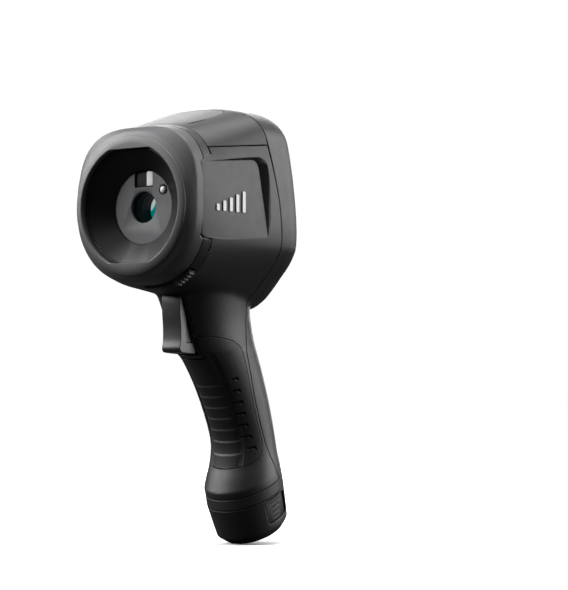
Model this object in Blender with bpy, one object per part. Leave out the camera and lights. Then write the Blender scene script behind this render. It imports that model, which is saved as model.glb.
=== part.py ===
"""Hand-held thermal imaging camera: lens head, rear display, trigger, slanted handle and battery foot.

Design coordinates are millimetres: x to the side, y from the front ring towards the display, z up from
the lowest point of the foot. world() turns them into metres, with the origin under the middle of the box.
"""

import math

import bmesh
import bpy
from mathutils import Vector, geometry

MM = 0.001
MID_Y = 66.75

# Lens head
AXIS_Z = 189.5
BORE_R = 34.4
FUNNEL_MOUTH_R = 33.0
FUNNEL_THROAT_R = 20.3
FUNNEL_FLAT = 30.5
PLATE_Y = 13.0
PLATE_R = 21.4
LENS_HOLE_R = 8.6
BUMPER_END_Y = 14.0
COLLAR_END_Y = 20.0
TONGUE_Y = 11.8
WALL = 2.6
HANDLE_WALL = 3.2
GAP = 0.3

# Display plane, tilted so that it faces a little upwards
TILT = math.radians(10)
FACE_Y = 90.45
FACE_Z = 200.3
GLASS_N = -4.9
GLASS_T = 1.5

# Foot, whose seams and flat bottom lie across the handle
FOOT_TILT = math.radians(23.5)
FOOT_Y = 114.9
FOOT_Z = 7.0
LOWER_SEAM = 23.5
UPPER_SEAM = 30.1
CELL_V = 9.6

# Lens cover
LEVER_TURN = 27
LEVER_ANGLE = -57
LEVER_HALF_ANGLE = 7.5
LEVER_LOW_Y = 16.2
LEVER_HIGH_Y = 18.3
BLADE_R = 10.2
BLADE_Y = 15.0
BLADE_T = 0.8
PIVOT = (3.8, -14.5)
PARK = (-11.2, -16.0)

# Trigger
TRIGGER_PIVOT = (47.0, 141.5)
TRIGGER_HALF = 6.5
PIN_R = 1.25
PIN_HOLE_R = 1.35

# Lamp and visual camera, from the optical axis
LAMP = (13.7, 9.1)
CAMERA = (0.0, 15.6)

# Port flap: middle, half length, half width, corner, slope of its seat and its hinge
FLAP_Y = 41.5
FLAP_HALF = (24.0, 16.0)
FLAP_CORNER = 5.8
FLAP_SEAT_Z = 233.9
FLAP_SLOPE = 0.27
FLAP_HINGE = (57.7, 247.6)

# Keypad, in the display plane
PAD_W = -41.3
PAD_PIVOT_N = -8.0
ROCKER_PIVOT_N = -9.3
BUTTON_BASE_N = -9.9
BUTTON_TOP_N = -2.9

# Flat part of the side walls: half width where it starts, and how fast it widens rearwards
SIDE_X = 43.0
SIDE_START_Y = 12.0
SIDE_SPREAD = 0.094

SIDE_STEPS = 22

COLOURS = {
    "housing": ((0.035, 0.036, 0.038), 0.48, 0.0),
    "rubber": ((0.055, 0.056, 0.058), 0.62, 0.0),
    "grip": ((0.018, 0.018, 0.019), 0.7, 0.0),
    "gloss": ((0.006, 0.006, 0.007), 0.12, 0.0),
    "plate": ((0.16, 0.16, 0.165), 0.4, 0.2),
    "button": ((0.05, 0.051, 0.053), 0.5, 0.0),
    "lens": ((0.2, 0.45, 0.43), 0.08, 0.6),
    "lamp": ((0.85, 0.86, 0.84), 0.25, 0.0),
    "display": ((0.01, 0.01, 0.012), 0.06, 0.0),
    "picture": ((0.01, 0.02, 0.35), 0.3, 0.0),
    "metal": ((0.5, 0.5, 0.51), 0.3, 1.0),
    "board": ((0.02, 0.16, 0.06), 0.45, 0.0),
    "cell": ((0.03, 0.05, 0.1), 0.4, 0.0),
}


def world(x, y, z):
    return Vector((x, y - MID_Y, z)) * MM


def front(x, z, y):
    """Measured from the optical axis."""
    return x, y, AXIS_Z + z


def side(y, z, x):
    return x, y, z


def above(x, y, z):
    return x, y, z


def display(x, w, n):
    """x, w lie in the display plane and n stands out of it, all from the middle of the picture."""
    return x, FACE_Y - w * math.sin(TILT) + n * math.cos(TILT), FACE_Z + w * math.cos(TILT) + n * math.sin(TILT)


def foot(x, v, u):
    """v runs rearwards along the flat bottom and u up the handle."""
    s, c = math.sin(FOOT_TILT), math.cos(FOOT_TILT)
    return x, FOOT_Y + v * c - u * s, FOOT_Z + v * s + u * c


# Materials and objects


def material(name):
    found = bpy.data.materials.get(name)
    if found:
        return found
    colour, roughness, metallic = COLOURS[name]
    made = bpy.data.materials.new(name)
    made.use_nodes = True
    shader = made.node_tree.nodes["Principled BSDF"]
    shader.inputs["Base Color"].default_value = (*colour, 1)
    shader.inputs["Roughness"].default_value = roughness
    shader.inputs["Metallic"].default_value = metallic
    return made


def add(name, bm, finish=None):
    """An object from a bmesh. With no finish it is a cutter or a guide."""
    bmesh.ops.remove_doubles(bm, verts=bm.verts, dist=0.00001)
    bmesh.ops.recalc_face_normals(bm, faces=bm.faces)
    mesh = bpy.data.meshes.new(name)
    bm.to_mesh(mesh)
    bm.free()
    mesh.shade_smooth()
    mesh.set_sharp_from_angle(angle=math.radians(32))
    obj = bpy.data.objects.new(name, mesh)
    bpy.context.scene.collection.objects.link(obj)
    if finish:
        mesh.materials.append(material(finish))
    else:
        obj.hide_render = True
        obj.display_type = "WIRE"
    return obj


def modify(obj, other, operation):
    step = obj.modifiers.new(f"{operation.lower()} {other.name}", "BOOLEAN")
    step.operation = operation
    step.object = other
    step.solver = "EXACT"


def cut(obj, *others):
    for other in others:
        modify(obj, other, "DIFFERENCE")


def keep(obj, *others):
    for other in others:
        modify(obj, other, "INTERSECT")


def join(obj, *others):
    for other in others:
        modify(obj, other, "UNION")


def pivot_at(obj, y, z, x=0.0):
    """Puts the object's origin on its joint's axis."""
    spot = world(x, y, z)
    for vertex in obj.data.vertices:
        vertex.co -= spot
    obj.location = spot


# Shapes


def loft(name, rings, finish=None, closed=False, fan=False):
    """Skins rings of points. Closed joins the last ring to the first, for a turned ring."""
    bm = bmesh.new()
    loops = [[bm.verts.new(world(*point)) for point in ring] for ring in rings]
    pairs = list(zip(loops, loops[1:]))
    if closed:
        pairs.append((loops[-1], loops[0]))
    for a, b in pairs:
        for i in range(len(a)):
            j = (i + 1) % len(a)
            bm.faces.new((a[i], a[j], b[j], b[i]))
    if not closed:
        for loop in (loops[0], loops[-1]):
            if fan:
                middle = bm.verts.new(sum((v.co for v in loop), Vector()) / len(loop))
                for i in range(len(loop)):
                    bm.faces.new((loop[i], loop[(i + 1) % len(loop)], middle))
            else:
                bm.faces.new(loop)
    return add(name, bm, finish)


def slab(name, outline, low, high, place, finish=None):
    """A flat outline carried from low to high along the third direction of place."""
    rings = [[place(a, b, height) for a, b in outline] for height in (low, high)]
    return loft(name, rings, finish)


def block(name, low, high, place, finish=None):
    (a0, b0, c0), (a1, b1, c1) = low, high
    return slab(name, [(a0, b0), (a1, b0), (a1, b1), (a0, b1)], c0, c1, place, finish)


def turned(name, profile, place, finish=None, centre=(0.0, 0.0), closed=False, steps=32):
    """A profile of (radius, height) turned about an axis along the third direction of place."""
    rings = [
        [place(centre[0] + x, centre[1] + y, height) for x, y in oval(radius, radius, 2, steps)]
        for radius, height in profile
    ]
    return loft(name, rings, finish, closed)


def oval(half_a, half_b, power=2.0, steps=32, centre=(0.0, 0.0)):
    """A superellipse: power 2 is an ellipse, and more is squarer."""
    points = []
    for i in range(steps):
        turn = 2 * math.pi * i / steps
        c, s = math.cos(turn), math.sin(turn)
        points.append(
            (
                centre[0] + half_a * math.copysign(abs(c) ** (2 / power), c),
                centre[1] + half_b * math.copysign(abs(s) ** (2 / power), s),
            )
        )
    return points


def rounded(half_a, half_b, radius, centre=(0.0, 0.0), steps=4):
    """A rectangle with round corners."""
    points = []
    for quarter, (sa, sb) in enumerate(((1, 1), (-1, 1), (-1, -1), (1, -1))):
        for i in range(steps + 1):
            turn = math.pi / 2 * (quarter + i / steps)
            points.append(
                (
                    centre[0] + sa * (half_a - radius) + radius * math.cos(turn),
                    centre[1] + sb * (half_b - radius) + radius * math.sin(turn),
                )
            )
    return points


def sector(inner, outer, start, end, steps=8):
    """An arc-shaped slot between two radii, in degrees."""
    turns = [math.radians(start + (end - start) * i / steps) for i in range(steps + 1)]
    out = [(outer * math.cos(t), outer * math.sin(t)) for t in turns]
    back = [(inner * math.cos(t), inner * math.sin(t)) for t in reversed(turns)]
    return out + back


def between(table, value):
    """Straight-line reading of a table of (key, result) pairs whose keys fall."""
    for (high, a), (low, b) in zip(table, table[1:]):
        if value >= low:
            return b + (a - b) * (value - low) / (high - low)
    (high, a), (low, b) = table[-2:]
    return b + (a - b) * (value - low) / (high - low)


def spread(points, count):
    """The same line with count evenly spaced steps."""
    lengths = [0.0]
    for (x0, z0), (x1, z1) in zip(points, points[1:]):
        lengths.append(lengths[-1] + math.hypot(x1 - x0, z1 - z0))
    result = []
    for i in range(count + 1):
        target = lengths[-1] * i / count
        k = max(j for j in range(len(lengths) - 1) if lengths[j] <= target + 1e-9)
        t = (target - lengths[k]) / (lengths[k + 1] - lengths[k])
        (x0, z0), (x1, z1) = points[k], points[k + 1]
        result.append((x0 + (x1 - x0) * t, z0 + (z1 - z0) * t))
    return result


def smooth(points, steps=5):
    """A smooth curve through the points."""
    ends = [points[0]] + points + [points[-1]]
    curve = []
    for p0, p1, p2, p3 in zip(ends, ends[1:], ends[2:], ends[3:]):
        for i in range(steps):
            t = i / steps
            point = []
            for a, b, c, d in zip(p0, p1, p2, p3):
                square, cube = 2 * a - 5 * b + 4 * c - d, 3 * b - a - 3 * c + d
                point.append(0.5 * (2 * b + (c - a) * t + square * t**2 + cube * t**3))
            curve.append(tuple(point))
    return curve + [points[-1]]


def inset(points, distance):
    """A half outline moved towards the middle, its two ends staying on the centre line."""
    moved = []
    for i, (x, z) in enumerate(points):
        (x0, z0), (x1, z1) = points[max(i - 1, 0)], points[min(i + 1, len(points) - 1)]
        length = math.hypot(x1 - x0, z1 - z0)
        dx, dz = (x1 - x0) / length, (z1 - z0) / length
        if i in (0, len(points) - 1):
            dx, dz = (1, 0) if i == 0 else (-1, 0)
        moved.append((x + dz * distance, z - dx * distance))
    return moved


def whole(half):
    """Both halves of an outline given from top centre to bottom centre."""
    return half + [(-x, z) for x, z in half[-2:0:-1]]


# The outer form: a lens head that grows from a round ring into the shield-shaped display, and a handle

REAR_OUTLINE = smooth(
    [
        (0, 248.5), (13, 248.1), (25.5, 246.3), (33.1, 244.3), (39.2, 241.2), (43.8, 237), (46.8, 231.9),
        (48.2, 225), (49, 207), (48.4, 184.3), (46.5, 170.5), (43.8, 164.5), (39.2, 158.4), (33.1, 152.3),
        (27, 146.2), (20, 140.2), (11, 135.5), (0, 134),
    ],
    3,
)
# Depth of the joint between the side walls and the rear cover, and of the rim, against height
SEAM = [(248.5, 60), (227.5, 63), (194.5, 73.6), (172.5, 78.5), (133.5, 83), (110.5, 83.5), (82.5, 92),
        (57.5, 101.5), (40, 110), (28, 116)]
RIM = [(248.5, 82), (228.5, 85), (194.5, 91.4), (171.5, 95.5), (151.5, 99), (134, 102)]
# Front rings: y, half width, height above and below the axis, squareness above and below
FRONT_RINGS = [
    (0.0, 36.2, 36.2, 36.2, 2.0, 2.0),
    (0.9, 37.7, 37.7, 37.7, 2.0, 2.0),
    (3.2, 40.2, 41.0, 39.6, 2.3, 2.15),
    (7.0, 42.0, 43.6, 41.6, 3.0, 2.3),
    (20.0, 44.0, 45.6, 44.6, 3.0, 2.5),
]
# Handle stations: front y, z, rear y, z, half width, squareness
HANDLE = [
    (38, 152, 88, 160, 27, 2.4),
    (38, 143, 95, 148, 22.5, 2.4),
    (43.5, 126, 99.5, 133, 19.2, 2.3),
    (50, 111, 104, 119.5, 18.4, 2.2),
    (58, 105, 106.5, 112, 18.4, 2.2),
    (70.5, 89.2, 110.5, 101, 18.4, 2.2),
    (82.1, 70.3, 116.5, 83, 18.4, 2.2),
    (87.7, 57.5, 121.3, 66, 18.8, 2.1),
    (87.2, 44, 123.5, 56, 19.8, 2.1),
]
# Foot stations: u, v of the middle, half width, half depth
FOOT = [(30.1, 2.3, 22, 23.9), (23.5, 1.3, 21.8, 24.3), (4.5, 0.2, 20.3, 22), (0, 0, 16.5, 17.55)]


def front_half(y, half, up, down, n_up, n_down):
    points = []
    for i in range(61):
        turn = math.pi / 2 - math.pi * i / 60
        power, height = (n_up, up) if turn >= 0 else (n_down, down)
        c, s = max(math.cos(turn), 0.0), math.sin(turn)
        points.append((half * c ** (2 / power), AXIS_Z + math.copysign(height * abs(s) ** (2 / power), s)))
    return points


def head(name, wall=0.0, finish=None):
    """The head's form. With a wall it is the hollow inside, which opens forwards through the round bore."""
    rings = []
    for station in FRONT_RINGS:
        half = spread(front_half(*station), SIDE_STEPS)
        rings.append([(x, station[0], z) for x, z in half])
    seam_half = spread(REAR_OUTLINE, SIDE_STEPS)
    seam = [(x, between(SEAM, z), z) for x, z in inset(seam_half, 0.4 + wall)]
    last = [(x, y, z) for (x, z), (_, y, _) in zip(inset([(x, z) for x, y, z in rings[-1]], wall), rings[-1])]
    if wall:
        bore = [(x, z) for x, z in spread(front_half(0, BORE_R, BORE_R, BORE_R, 2, 2), SIDE_STEPS)]
        rings = [[(x, y, z) for x, z in bore] for y in (-6.0, 18.5)]
        rings.append([(x, 22.0, z) for x, y, z in last])
        last = rings[-1]
    rings.append([tuple(a + (b - a) * 0.5 for a, b in zip(p, q)) for p, q in zip(last, seam)])
    rings.append(seam)
    steps = [(wall, 11.0)] if wall else [(0.0, 9.0), (0.5, 4.5), (2.0, 1.4), (4.2, 0.0)]
    for shrink, depth in steps:
        rings.append([(x, between(RIM, z) - depth, z) for x, z in inset(seam_half, shrink)])
    full = [half + [(-x, y, z) for x, y, z in half[-2:0:-1]] for half in rings]
    return loft(name, full, finish, fan=True)


def grip_tube(name, wall=0.0, finish=None, end=0.0):
    """The handle's form down to the foot. With a wall it is the hollow inside."""
    rings = []
    for y0, z0, y1, z1, half, power in HANDLE:
        length = math.hypot(y1 - y0, z1 - z0)
        dy, dz = (y1 - y0) / length, (z1 - z0) / length
        rings.append(
            [
                (x, (y0 + y1) / 2 + t * dy, (z0 + z1) / 2 + t * dz)
                for x, t in oval(half - wall, length / 2 - wall, power, 32)
            ]
        )
    for u, v, half, depth in FOOT:
        if u < end:
            break
        rings.append([foot(x, v + t, u) for x, t in oval(half - wall, depth - wall, 2.1, 32)])
    return loft(name, rings, finish)


def forms():
    outer = head("form_outer")
    join(outer, grip_tube("form_handle"))
    hollow = head("form_hollow", WALL)
    join(hollow, grip_tube("form_handle_hollow", HANDLE_WALL, end=LOWER_SEAM))
    return outer, hollow


def side_profile(name, points, finish=None):
    """A side view carried right across the body."""
    return slab(name, points, -80, 80, side, finish)


def below_seam(offset):
    """The region behind the joint line with the rear cover, as a side profile."""
    line = [(y + offset, z) for z, y in SEAM]
    return [(160, 260), (line[0][0], 260)] + line + [(line[-1][0], -20), (160, -20)]


# Lens head


def tongue(name, grow):
    """The recessed side floor reaches forward under the bumper's lip here."""
    low, high = 170.8 - grow, 217.0 + grow
    pair = []
    for sign in (-1, 1):
        pair.append(
            block(f"{name}_{sign}", (sign * 40.4, TONGUE_Y - grow, low), (sign * 60, 40, high), above)
        )
    return pair


def front_parts(outer):
    bezel = block("front_bezel", (-60, -2, 130), (60, BUMPER_END_Y, 250), above, "rubber")
    bore = turned("bore_cutter", [(BORE_R - 0.9, -4), (BORE_R - 0.9, 26)], front, steps=48)
    keep(bezel, outer)
    cut(bezel, bore, *tongue("tongue_bezel", GAP))
    collar = block(
        "front_collar", (-60, BUMPER_END_Y + GAP, 130), (60, COLLAR_END_Y, 250), above, "housing"
    )
    keep(collar, outer)
    wide_bore = turned("wide_bore_cutter", [(BORE_R, -4), (BORE_R, 26)], front, steps=48)
    arc = sector(28, 56, LEVER_ANGLE - LEVER_TURN - 9, LEVER_ANGLE + 9)
    slot = slab("lever_slot_cutter", arc, 15.4, 18.6, front)
    cut(collar, wide_bore, slot, *tongue("tongue_collar", GAP))

    def flat_ring(radius, y):
        ring = oval(radius, radius, 2, 48)
        return [front(x, max(-FUNNEL_FLAT, min(FUNNEL_FLAT, z)), y) for x, z in ring]

    wall = 1.3
    loft(
        "lens_funnel",
        [
            flat_ring(FUNNEL_MOUTH_R, 0.6),
            flat_ring(FUNNEL_THROAT_R, PLATE_Y - 0.7),
            flat_ring(FUNNEL_THROAT_R + wall, PLATE_Y - 0.7),
            flat_ring(FUNNEL_MOUTH_R + 0.2, 3.6),
        ],
        "gloss",
        closed=True,
    )


def plate_parts():
    plate = turned("face_plate", [(PLATE_R, PLATE_Y), (PLATE_R, PLATE_Y + 1.5)], front, "plate", steps=40)
    hole = turned("lens_hole_cutter", [(LENS_HOLE_R, 10), (LENS_HOLE_R, 17)], front, steps=32)
    window = slab("camera_hole_cutter", rounded(6.6, 4.4, 0.8, CAMERA, 2), 10, 17, front)
    lamp = turned("lamp_hole_cutter", [(2.9, 10), (2.9, 17)], front, centre=LAMP, steps=24)
    cut(plate, hole, window, lamp)
    slab("camera_window", rounded(6.2, 4.0, 0.8, CAMERA, 2), PLATE_Y + 0.3, PLATE_Y + 1.5, front, "gloss")
    slab("visual_camera", rounded(6.2, 3.6, 0.8, (0, 16.1), 2), PLATE_Y + 2, 20.2, front, "housing")
    turned(
        "lamp_ring",
        [(2.6, PLATE_Y - 0.3), (2.6, PLATE_Y + 2.2), (1.9, PLATE_Y + 2.2), (1.9, PLATE_Y - 0.3)],
        front, "gloss", LAMP, True, 24,
    )
    turned(
        "lamp_lens",
        [(0.5, PLATE_Y - 1.1), (1.1, PLATE_Y - 0.9), (1.6, PLATE_Y), (1.6, PLATE_Y + 4), (0.6, PLATE_Y + 4)],
        front, "lamp", LAMP, False, 20,
    )
    turned(
        "lens_barrel",
        [(12, 16.6), (12, 34), (7.6, 34), (7.6, 26.5), (8.9, 26.5), (8.9, 18), (9.6, 16.6)],
        front, "housing", closed=True, steps=32,
    )
    turned(
        "ir_lens",
        [(1.2, 21.4), (4.4, 21.9), (6.8, 22.9), (8.6, 24.3), (8.6, 26.2), (4, 26.2)],
        front, "lens", steps=32,
    )
    block("detector_module", (-13, -13, 34.3), (13, 13, 41), front, "metal")


def cover_parts():
    """The lever ring turns about the optical axis and swings the blade in front of the lens."""
    low, high = LEVER_LOW_Y, LEVER_HIGH_Y
    lever = turned(
        "lens_cap_lever", [(30.6, low), (33.8, low), (33.8, high), (30.6, high)], front, "gloss",
        closed=True, steps=48,
    )
    arc = sector(32, 46.6, LEVER_ANGLE - LEVER_HALF_ANGLE, LEVER_ANGLE + LEVER_HALF_ANGLE, 6)
    tab = slab("lever_tab", arc, low + 0.2, high - 0.2, front)
    join(lever, tab)
    pivot_at(lever, 0, AXIS_Z)
    tab.parent = lever
    tab.matrix_parent_inverse.translation = -world(0, 0, AXIS_Z)
    rim = oval(BLADE_R, BLADE_R, 2, 32, PARK) + oval(3, 3, 2, 16, PIVOT)
    outline = [rim[i] for i in geometry.convex_hull_2d(rim)]
    blade = slab("shutter_blade", outline, BLADE_Y, BLADE_Y + BLADE_T, front, "gloss")
    hole = turned("blade_hole", [(1.55, 14), (1.55, 17)], front, centre=PIVOT, steps=20)
    cut(blade, hole)
    pivot_at(blade, BLADE_Y + BLADE_T / 2, AXIS_Z + PIVOT[1], PIVOT[0])
    turned("shutter_pin", [(1.2, 14.7), (1.2, 20.3)], front, "metal", PIVOT, steps=16)


def carrier():
    """The frame inside the head that holds the optics."""
    outline = [(x, z - AXIS_Z) for x, z in whole(spread(inset(front_half(*FRONT_RINGS[-1]), WALL + 0.6), 16))]
    plate = slab("optics_carrier", outline, 22.6, 24.6, front, "housing")
    centre = turned("carrier_boss", [(15, 20.6), (15, 23.5)], front, steps=32)
    join(plate, centre)
    bore = turned("carrier_bore", [(12.3, 18), (12.3, 27)], front, steps=32)
    cut(plate, bore)
    for i, (x, z) in enumerate(((30, 26), (-30, 26), (30, -24), (-30, -24))):
        hole = turned(f"carrier_hole_{i}", [(1.6, 20), (1.6, 27)], front, centre=(x, z), steps=12)
        cut(plate, hole)
        turned(
            f"carrier_screw_{i + 1}",
            [(1.25, 22.3), (1.25, 25), (2.6, 25), (2.6, 26.4)],
            front, "metal", (x, z), steps=12,
        )


# Housing shells


def side_recess(name, sign, floor, out):
    """The shallow panel in each side wall, with sloping edges."""

    def wall_x(y):
        return SIDE_X + (y - SIDE_START_Y) * SIDE_SPREAD

    base = [(9.5, 172.2), (67.3, 170.8), (57.4, 216.8), (9.5, 211.9)]
    rim = [(9.5, 169.4), (74.8, 168.0), (66.0, 219.3), (9.5, 214.3)]
    rings = [
        [(sign * (wall_x(y) - floor), y, z) for y, z in base],
        [(sign * (wall_x(y) + out), y, z) for y, z in rim],
    ]
    return loft(name, rings)


def panel_cutters(floor=1.7):
    return [side_recess(f"side_recess_{sign}", sign, floor, 0.4) for sign in (-1, 1)]


GRIP_EDGE = [
    (30, 120), (60, 118.5), (72.4, 116.4), (79.0, 112.3), (82.5, 104), (85.2, 96), (91.5, 78),
    (98.1, 59.7), (97.2, 53), (92.5, 49.9), (84, 47.6), (60, 44),
]
TRIGGER_WELL = [
    (30, 150), (61.3, 150), (61.3, 106.2), (56, 104.6), (49, 104.6), (46.3, 111), (42, 122), (36, 143),
]


def grow(points, distance):
    """Moves a closed outline outwards."""
    turn = sum(x0 * y1 - x1 * y0 for (x0, y0), (x1, y1) in zip(points, points[1:] + points[:1]))
    sign = 1 if turn > 0 else -1
    moved = []
    for i, (x, y) in enumerate(points):
        (x0, y0), (x1, y1) = points[i - 1], points[(i + 1) % len(points)]
        a = Vector((y - y0, x0 - x)).normalized()
        b = Vector((y1 - y, x - x1)).normalized()
        n = (a + b).normalized()
        move = n * (sign * distance / max(n.dot(a), 0.35))
        moved.append((x + move.x, y + move.y))
    return moved


def housing_parts(outer, hollow):
    top_line = [(COLLAR_END_Y + GAP, 220.8), (62.9, 225.2)]
    seam_line = [(y, z) for z, y in SEAM]
    # Forward of the collar's joint only the two side tongues remain
    region = [(TONGUE_Y, 216.7), (COLLAR_END_Y + GAP, 216.7)] + top_line + seam_line[2:]
    region += [(120, 10), (COLLAR_END_Y + GAP, 10), (COLLAR_END_Y + GAP, 171.1), (TONGUE_Y, 171.1)]
    housing = side_profile("main_housing", region, "housing")
    keep(housing, outer)
    cut(housing, hollow)
    nose = block("nose_cutter", (-40.7, 0, 164), (40.7, COLLAR_END_Y + 0.9, 224), above)
    foot_cut = block("foot_cutter", (-60, -60, -40), (60, 60, UPPER_SEAM), foot)
    cut(housing, nose, foot_cut, *panel_cutters())
    well = slab("trigger_well_cutter", grow(TRIGGER_WELL, GAP), -9.8, 9.8, side)
    cut(housing, well)

    bed = side_profile("grip_bed_cutter", grow(GRIP_EDGE, GAP))
    inner_form = grip_tube("grip_inner_form", 1.9)
    cut(bed, inner_form)
    cut(housing, bed)
    grip = side_profile("rubber_grip", GRIP_EDGE, "grip")
    keep(grip, grip_tube("grip_outer_form", 0.0))
    grip_well = slab("grip_well", grow(TRIGGER_WELL, 2 * GAP), -10.1, 10.1, side)
    cut(grip, grip_tube("grip_back_form", 1.6), grip_well)

    top = side_profile(
        "top_cover",
        [(COLLAR_END_Y + GAP, 221.1 + GAP), (62.8, 225.5 + GAP), (62.4, 227.8), (59.7, 248.5), (59.7, 260),
         (COLLAR_END_Y + GAP, 260)],
        "housing",
    )
    keep(top, outer)
    cut(top, hollow)
    return top


def flap_seat(drop=0.0):
    """The sloping surface under the flap, as a place function."""
    return lambda x, y, z: (x, y, FLAP_SEAT_Z - drop + (y - COLLAR_END_Y) * FLAP_SLOPE + z)


def port_parts(top, outer):
    """A hinged flap in the roof over the charging and data socket."""
    centre = (0, FLAP_Y)
    tub = slab("port_tub", rounded(24.5, 16.3, 6, centre), 227.5, 243, above)
    keep(tub, outer)
    join(top, tub)
    bay = slab("port_bay_cutter", rounded(22, 14, 5, centre), 229.5, 262, above)
    opening = rounded(FLAP_HALF[0] + GAP, FLAP_HALF[1] + GAP, FLAP_CORNER + 0.2, centre)
    seat = slab("port_seat_cutter", opening, 0, 30, flap_seat(GAP))
    cut(top, bay, seat)
    flap = slab("port_cover", rounded(*FLAP_HALF, FLAP_CORNER, centre), 0, 30, flap_seat(), "rubber")
    keep(flap, outer)
    pivot_at(flap, *FLAP_HINGE)
    socket = slab("usb_socket", rounded(4.6, 1.9, 1.4, centre), 229.8, 232.4, above, "metal")
    cut(socket, slab("usb_mouth_cutter", rounded(3.9, 1.2, 1.0, centre), 230.6, 236, above))


# Rear cover, display and keypad

WINDOW_HALF = smooth(
    [(0, 37.6), (18, 37.3), (30, 36.2), (38.5, 32.6), (42.2, 26), (42.8, 16), (42.8, -14), (41.6, -26),
     (36.5, -36), (26, -47.5), (16, -56), (8, -59.8), (0, -60.9)],
    2,
)


def window_outline(change, steps=24):
    return whole(spread(inset(WINDOW_HALF, change), steps))


def rear_parts(outer, hollow):
    cover = side_profile("rear_cover", below_seam(GAP), "housing")
    keep(cover, outer)
    foot_cut = block("foot_rear_cutter", (-60, -60, -40), (60, 60, UPPER_SEAM), foot)
    low, high = window_outline(-0.4), window_outline(-1.6)
    recess = loft(
        "display_recess_cutter",
        [[display(x, w, -7.2) for x, w in low], [display(x, w, GLASS_N) for x, w in low],
         [display(x * 1.02, w + 3.4 * (w > 20), 4) for x, w in high]],
    )
    aperture = slab("display_aperture_cutter", window_outline(2.6), -16, -4, display)
    cut(cover, hollow, foot_cut, recess, aperture)
    gasket = slab("display_gasket", window_outline(0.2), -7.0, -6.7, display, "grip")
    cut(gasket, slab("gasket_hole_cutter", window_outline(2.2), -9, -5, display))
    window = slab("display_window", window_outline(0.0), GLASS_N - GLASS_T, GLASS_N, display, "display")
    block("lcd_module", (-36.8, -27, -11.6), (36.8, 27, -6.8), display, "picture")
    badge = [(-10.5, 37.0), (10.5, 37.0), (7.2, 31.2), (-7.2, 31.2)]
    slab("badge_plate", badge, GLASS_N + 0.2, GLASS_N + 0.9, display, "plate")
    return window


def keypad_parts(window):
    """Four push buttons and a rocking pad, all over one switch board."""
    board = [(-31, -30.5), (31, -30.5), (27, -40), (18, -50), (9, -54.5), (-9, -54.5), (-18, -50), (-27, -40)]
    slab("keypad_board", board, -12.0, -11.0, display, "board")
    middle = (0, PAD_W)
    shapes = {
        "archive_button": [(14.1, -31.4), (29.6, -31.4), (29.6, -34.8), (26.2, -38.2), (14.1, -38.2)],
        "cancel_button": [(-14.1, -31.4), (-29.6, -31.4), (-29.6, -34.8), (-26.2, -38.2), (-14.1, -38.2)],
        "power_button": oval(2.1, 2.1, 2, 20, (-16.6, -43.2)),
        "center_button": rounded(4.8, 4.8, 1.2, middle, 3),
    }
    for name, outline in shapes.items():
        button = slab(name, outline, BUTTON_BASE_N, BUTTON_TOP_N, display, "button")
        if name != "center_button":
            hole = slab(f"{name}_hole", grow(outline, 0.35), GLASS_N - 3, GLASS_N + 2, display)
            cut(window, hole)
        pivot_at(button, *display(0, PAD_W, 0)[1:])
    chamfered = [
        (-10.3, -7.8), (-7.8, -10.3), (7.8, -10.3), (10.3, -7.8),
        (10.3, 7.8), (7.8, 10.3), (-7.8, 10.3), (-10.3, 7.8),
    ]
    ring = [(x, w + PAD_W) for x, w in chamfered]
    pad = slab("nav_pad", ring, -8.4, -2.4, display, "button")
    cut(pad, slab("nav_pad_hole", rounded(5.7, 5.7, 1.4, middle, 3), -12, 2, display))
    pivot_at(pad, *display(0, PAD_W, PAD_PIVOT_N)[1:])
    rocker = slab("nav_rocker_plate", rounded(9.2, 9.2, 2, middle, 3), -9.7, -8.9, display, "housing")
    cut(rocker, slab("rocker_hole", rounded(5.7, 5.7, 1.4, middle, 3), -12, -6, display))
    pivot_at(rocker, *display(0, PAD_W, ROCKER_PIVOT_N)[1:])
    cut(window, slab("nav_pad_window_hole", grow(ring, 0.6), GLASS_N - 3, GLASS_N + 2, display))


# Trigger


def trigger_parts():
    frame = slab(
        "trigger_frame",
        [(36.4, 149.6), (37.0, 143.5), (42.9, 126), (48.9, 111.3), (50.6, 106.6), (56, 104.9), (60.9, 106.5),
         (60.9, 149.6)],
        -9.4, 9.4, side, "housing",
    )
    channel = slab(
        "trigger_channel_cutter",
        [(20, 148), (58.2, 148), (58.2, 108.6), (51.5, 107.3), (44, 107.3), (20, 107.3)],
        -7.1, 7.1, side,
    )
    bore_line = [(PIN_HOLE_R, -12), (PIN_HOLE_R, 12)]
    bore = turned("pin_bore_cutter", bore_line, side, centre=TRIGGER_PIVOT, steps=20)
    cut(frame, channel, bore)
    trigger = slab(
        "trigger",
        smooth([(40.2, 146.3), (38.1, 141), (37.6, 133), (38.3, 124), (39.6, 116), (40.3, 111.6)], 2)
        + [(41.3, 109.8), (50.5, 109.3), (51.6, 111), (50.8, 128), (51.2, 144.5), (49.5, 146.3)],
        -TRIGGER_HALF, TRIGGER_HALF, side, "gloss",
    )
    slot = slab("spring_slot_cutter", [(43.2, 150), (58, 150), (58, 137.4), (43.2, 137.4)], -2.4, 2.4, side)
    cut(trigger, bore, slot)
    pivot_at(trigger, *TRIGGER_PIVOT)
    turned("trigger_pin", [(PIN_R, -9.2), (PIN_R, 9.2)], side, "metal", TRIGGER_PIVOT, steps=16)
    turned(
        "trigger_spring", [(1.6, -2.0), (2.6, -2.0), (2.6, 2.0), (1.6, 2.0)], side, "metal", TRIGGER_PIVOT,
        True, 20,
    )
    block("trigger_switch", (61.2, 113, -4), (67.5, 127, 4), side, "gloss")


# Inside


def inner_parts():
    block("main_board", (-33, 160, 57.4), (33, 222, 59.0), lambda x, z, y: (x, y, z), "board")
    block("battery_contacts", (-7, 0, 79), (7, 20, 84), lambda x, v, u: foot(x, v + 1, u), "gloss")


# Foot and battery


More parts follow.
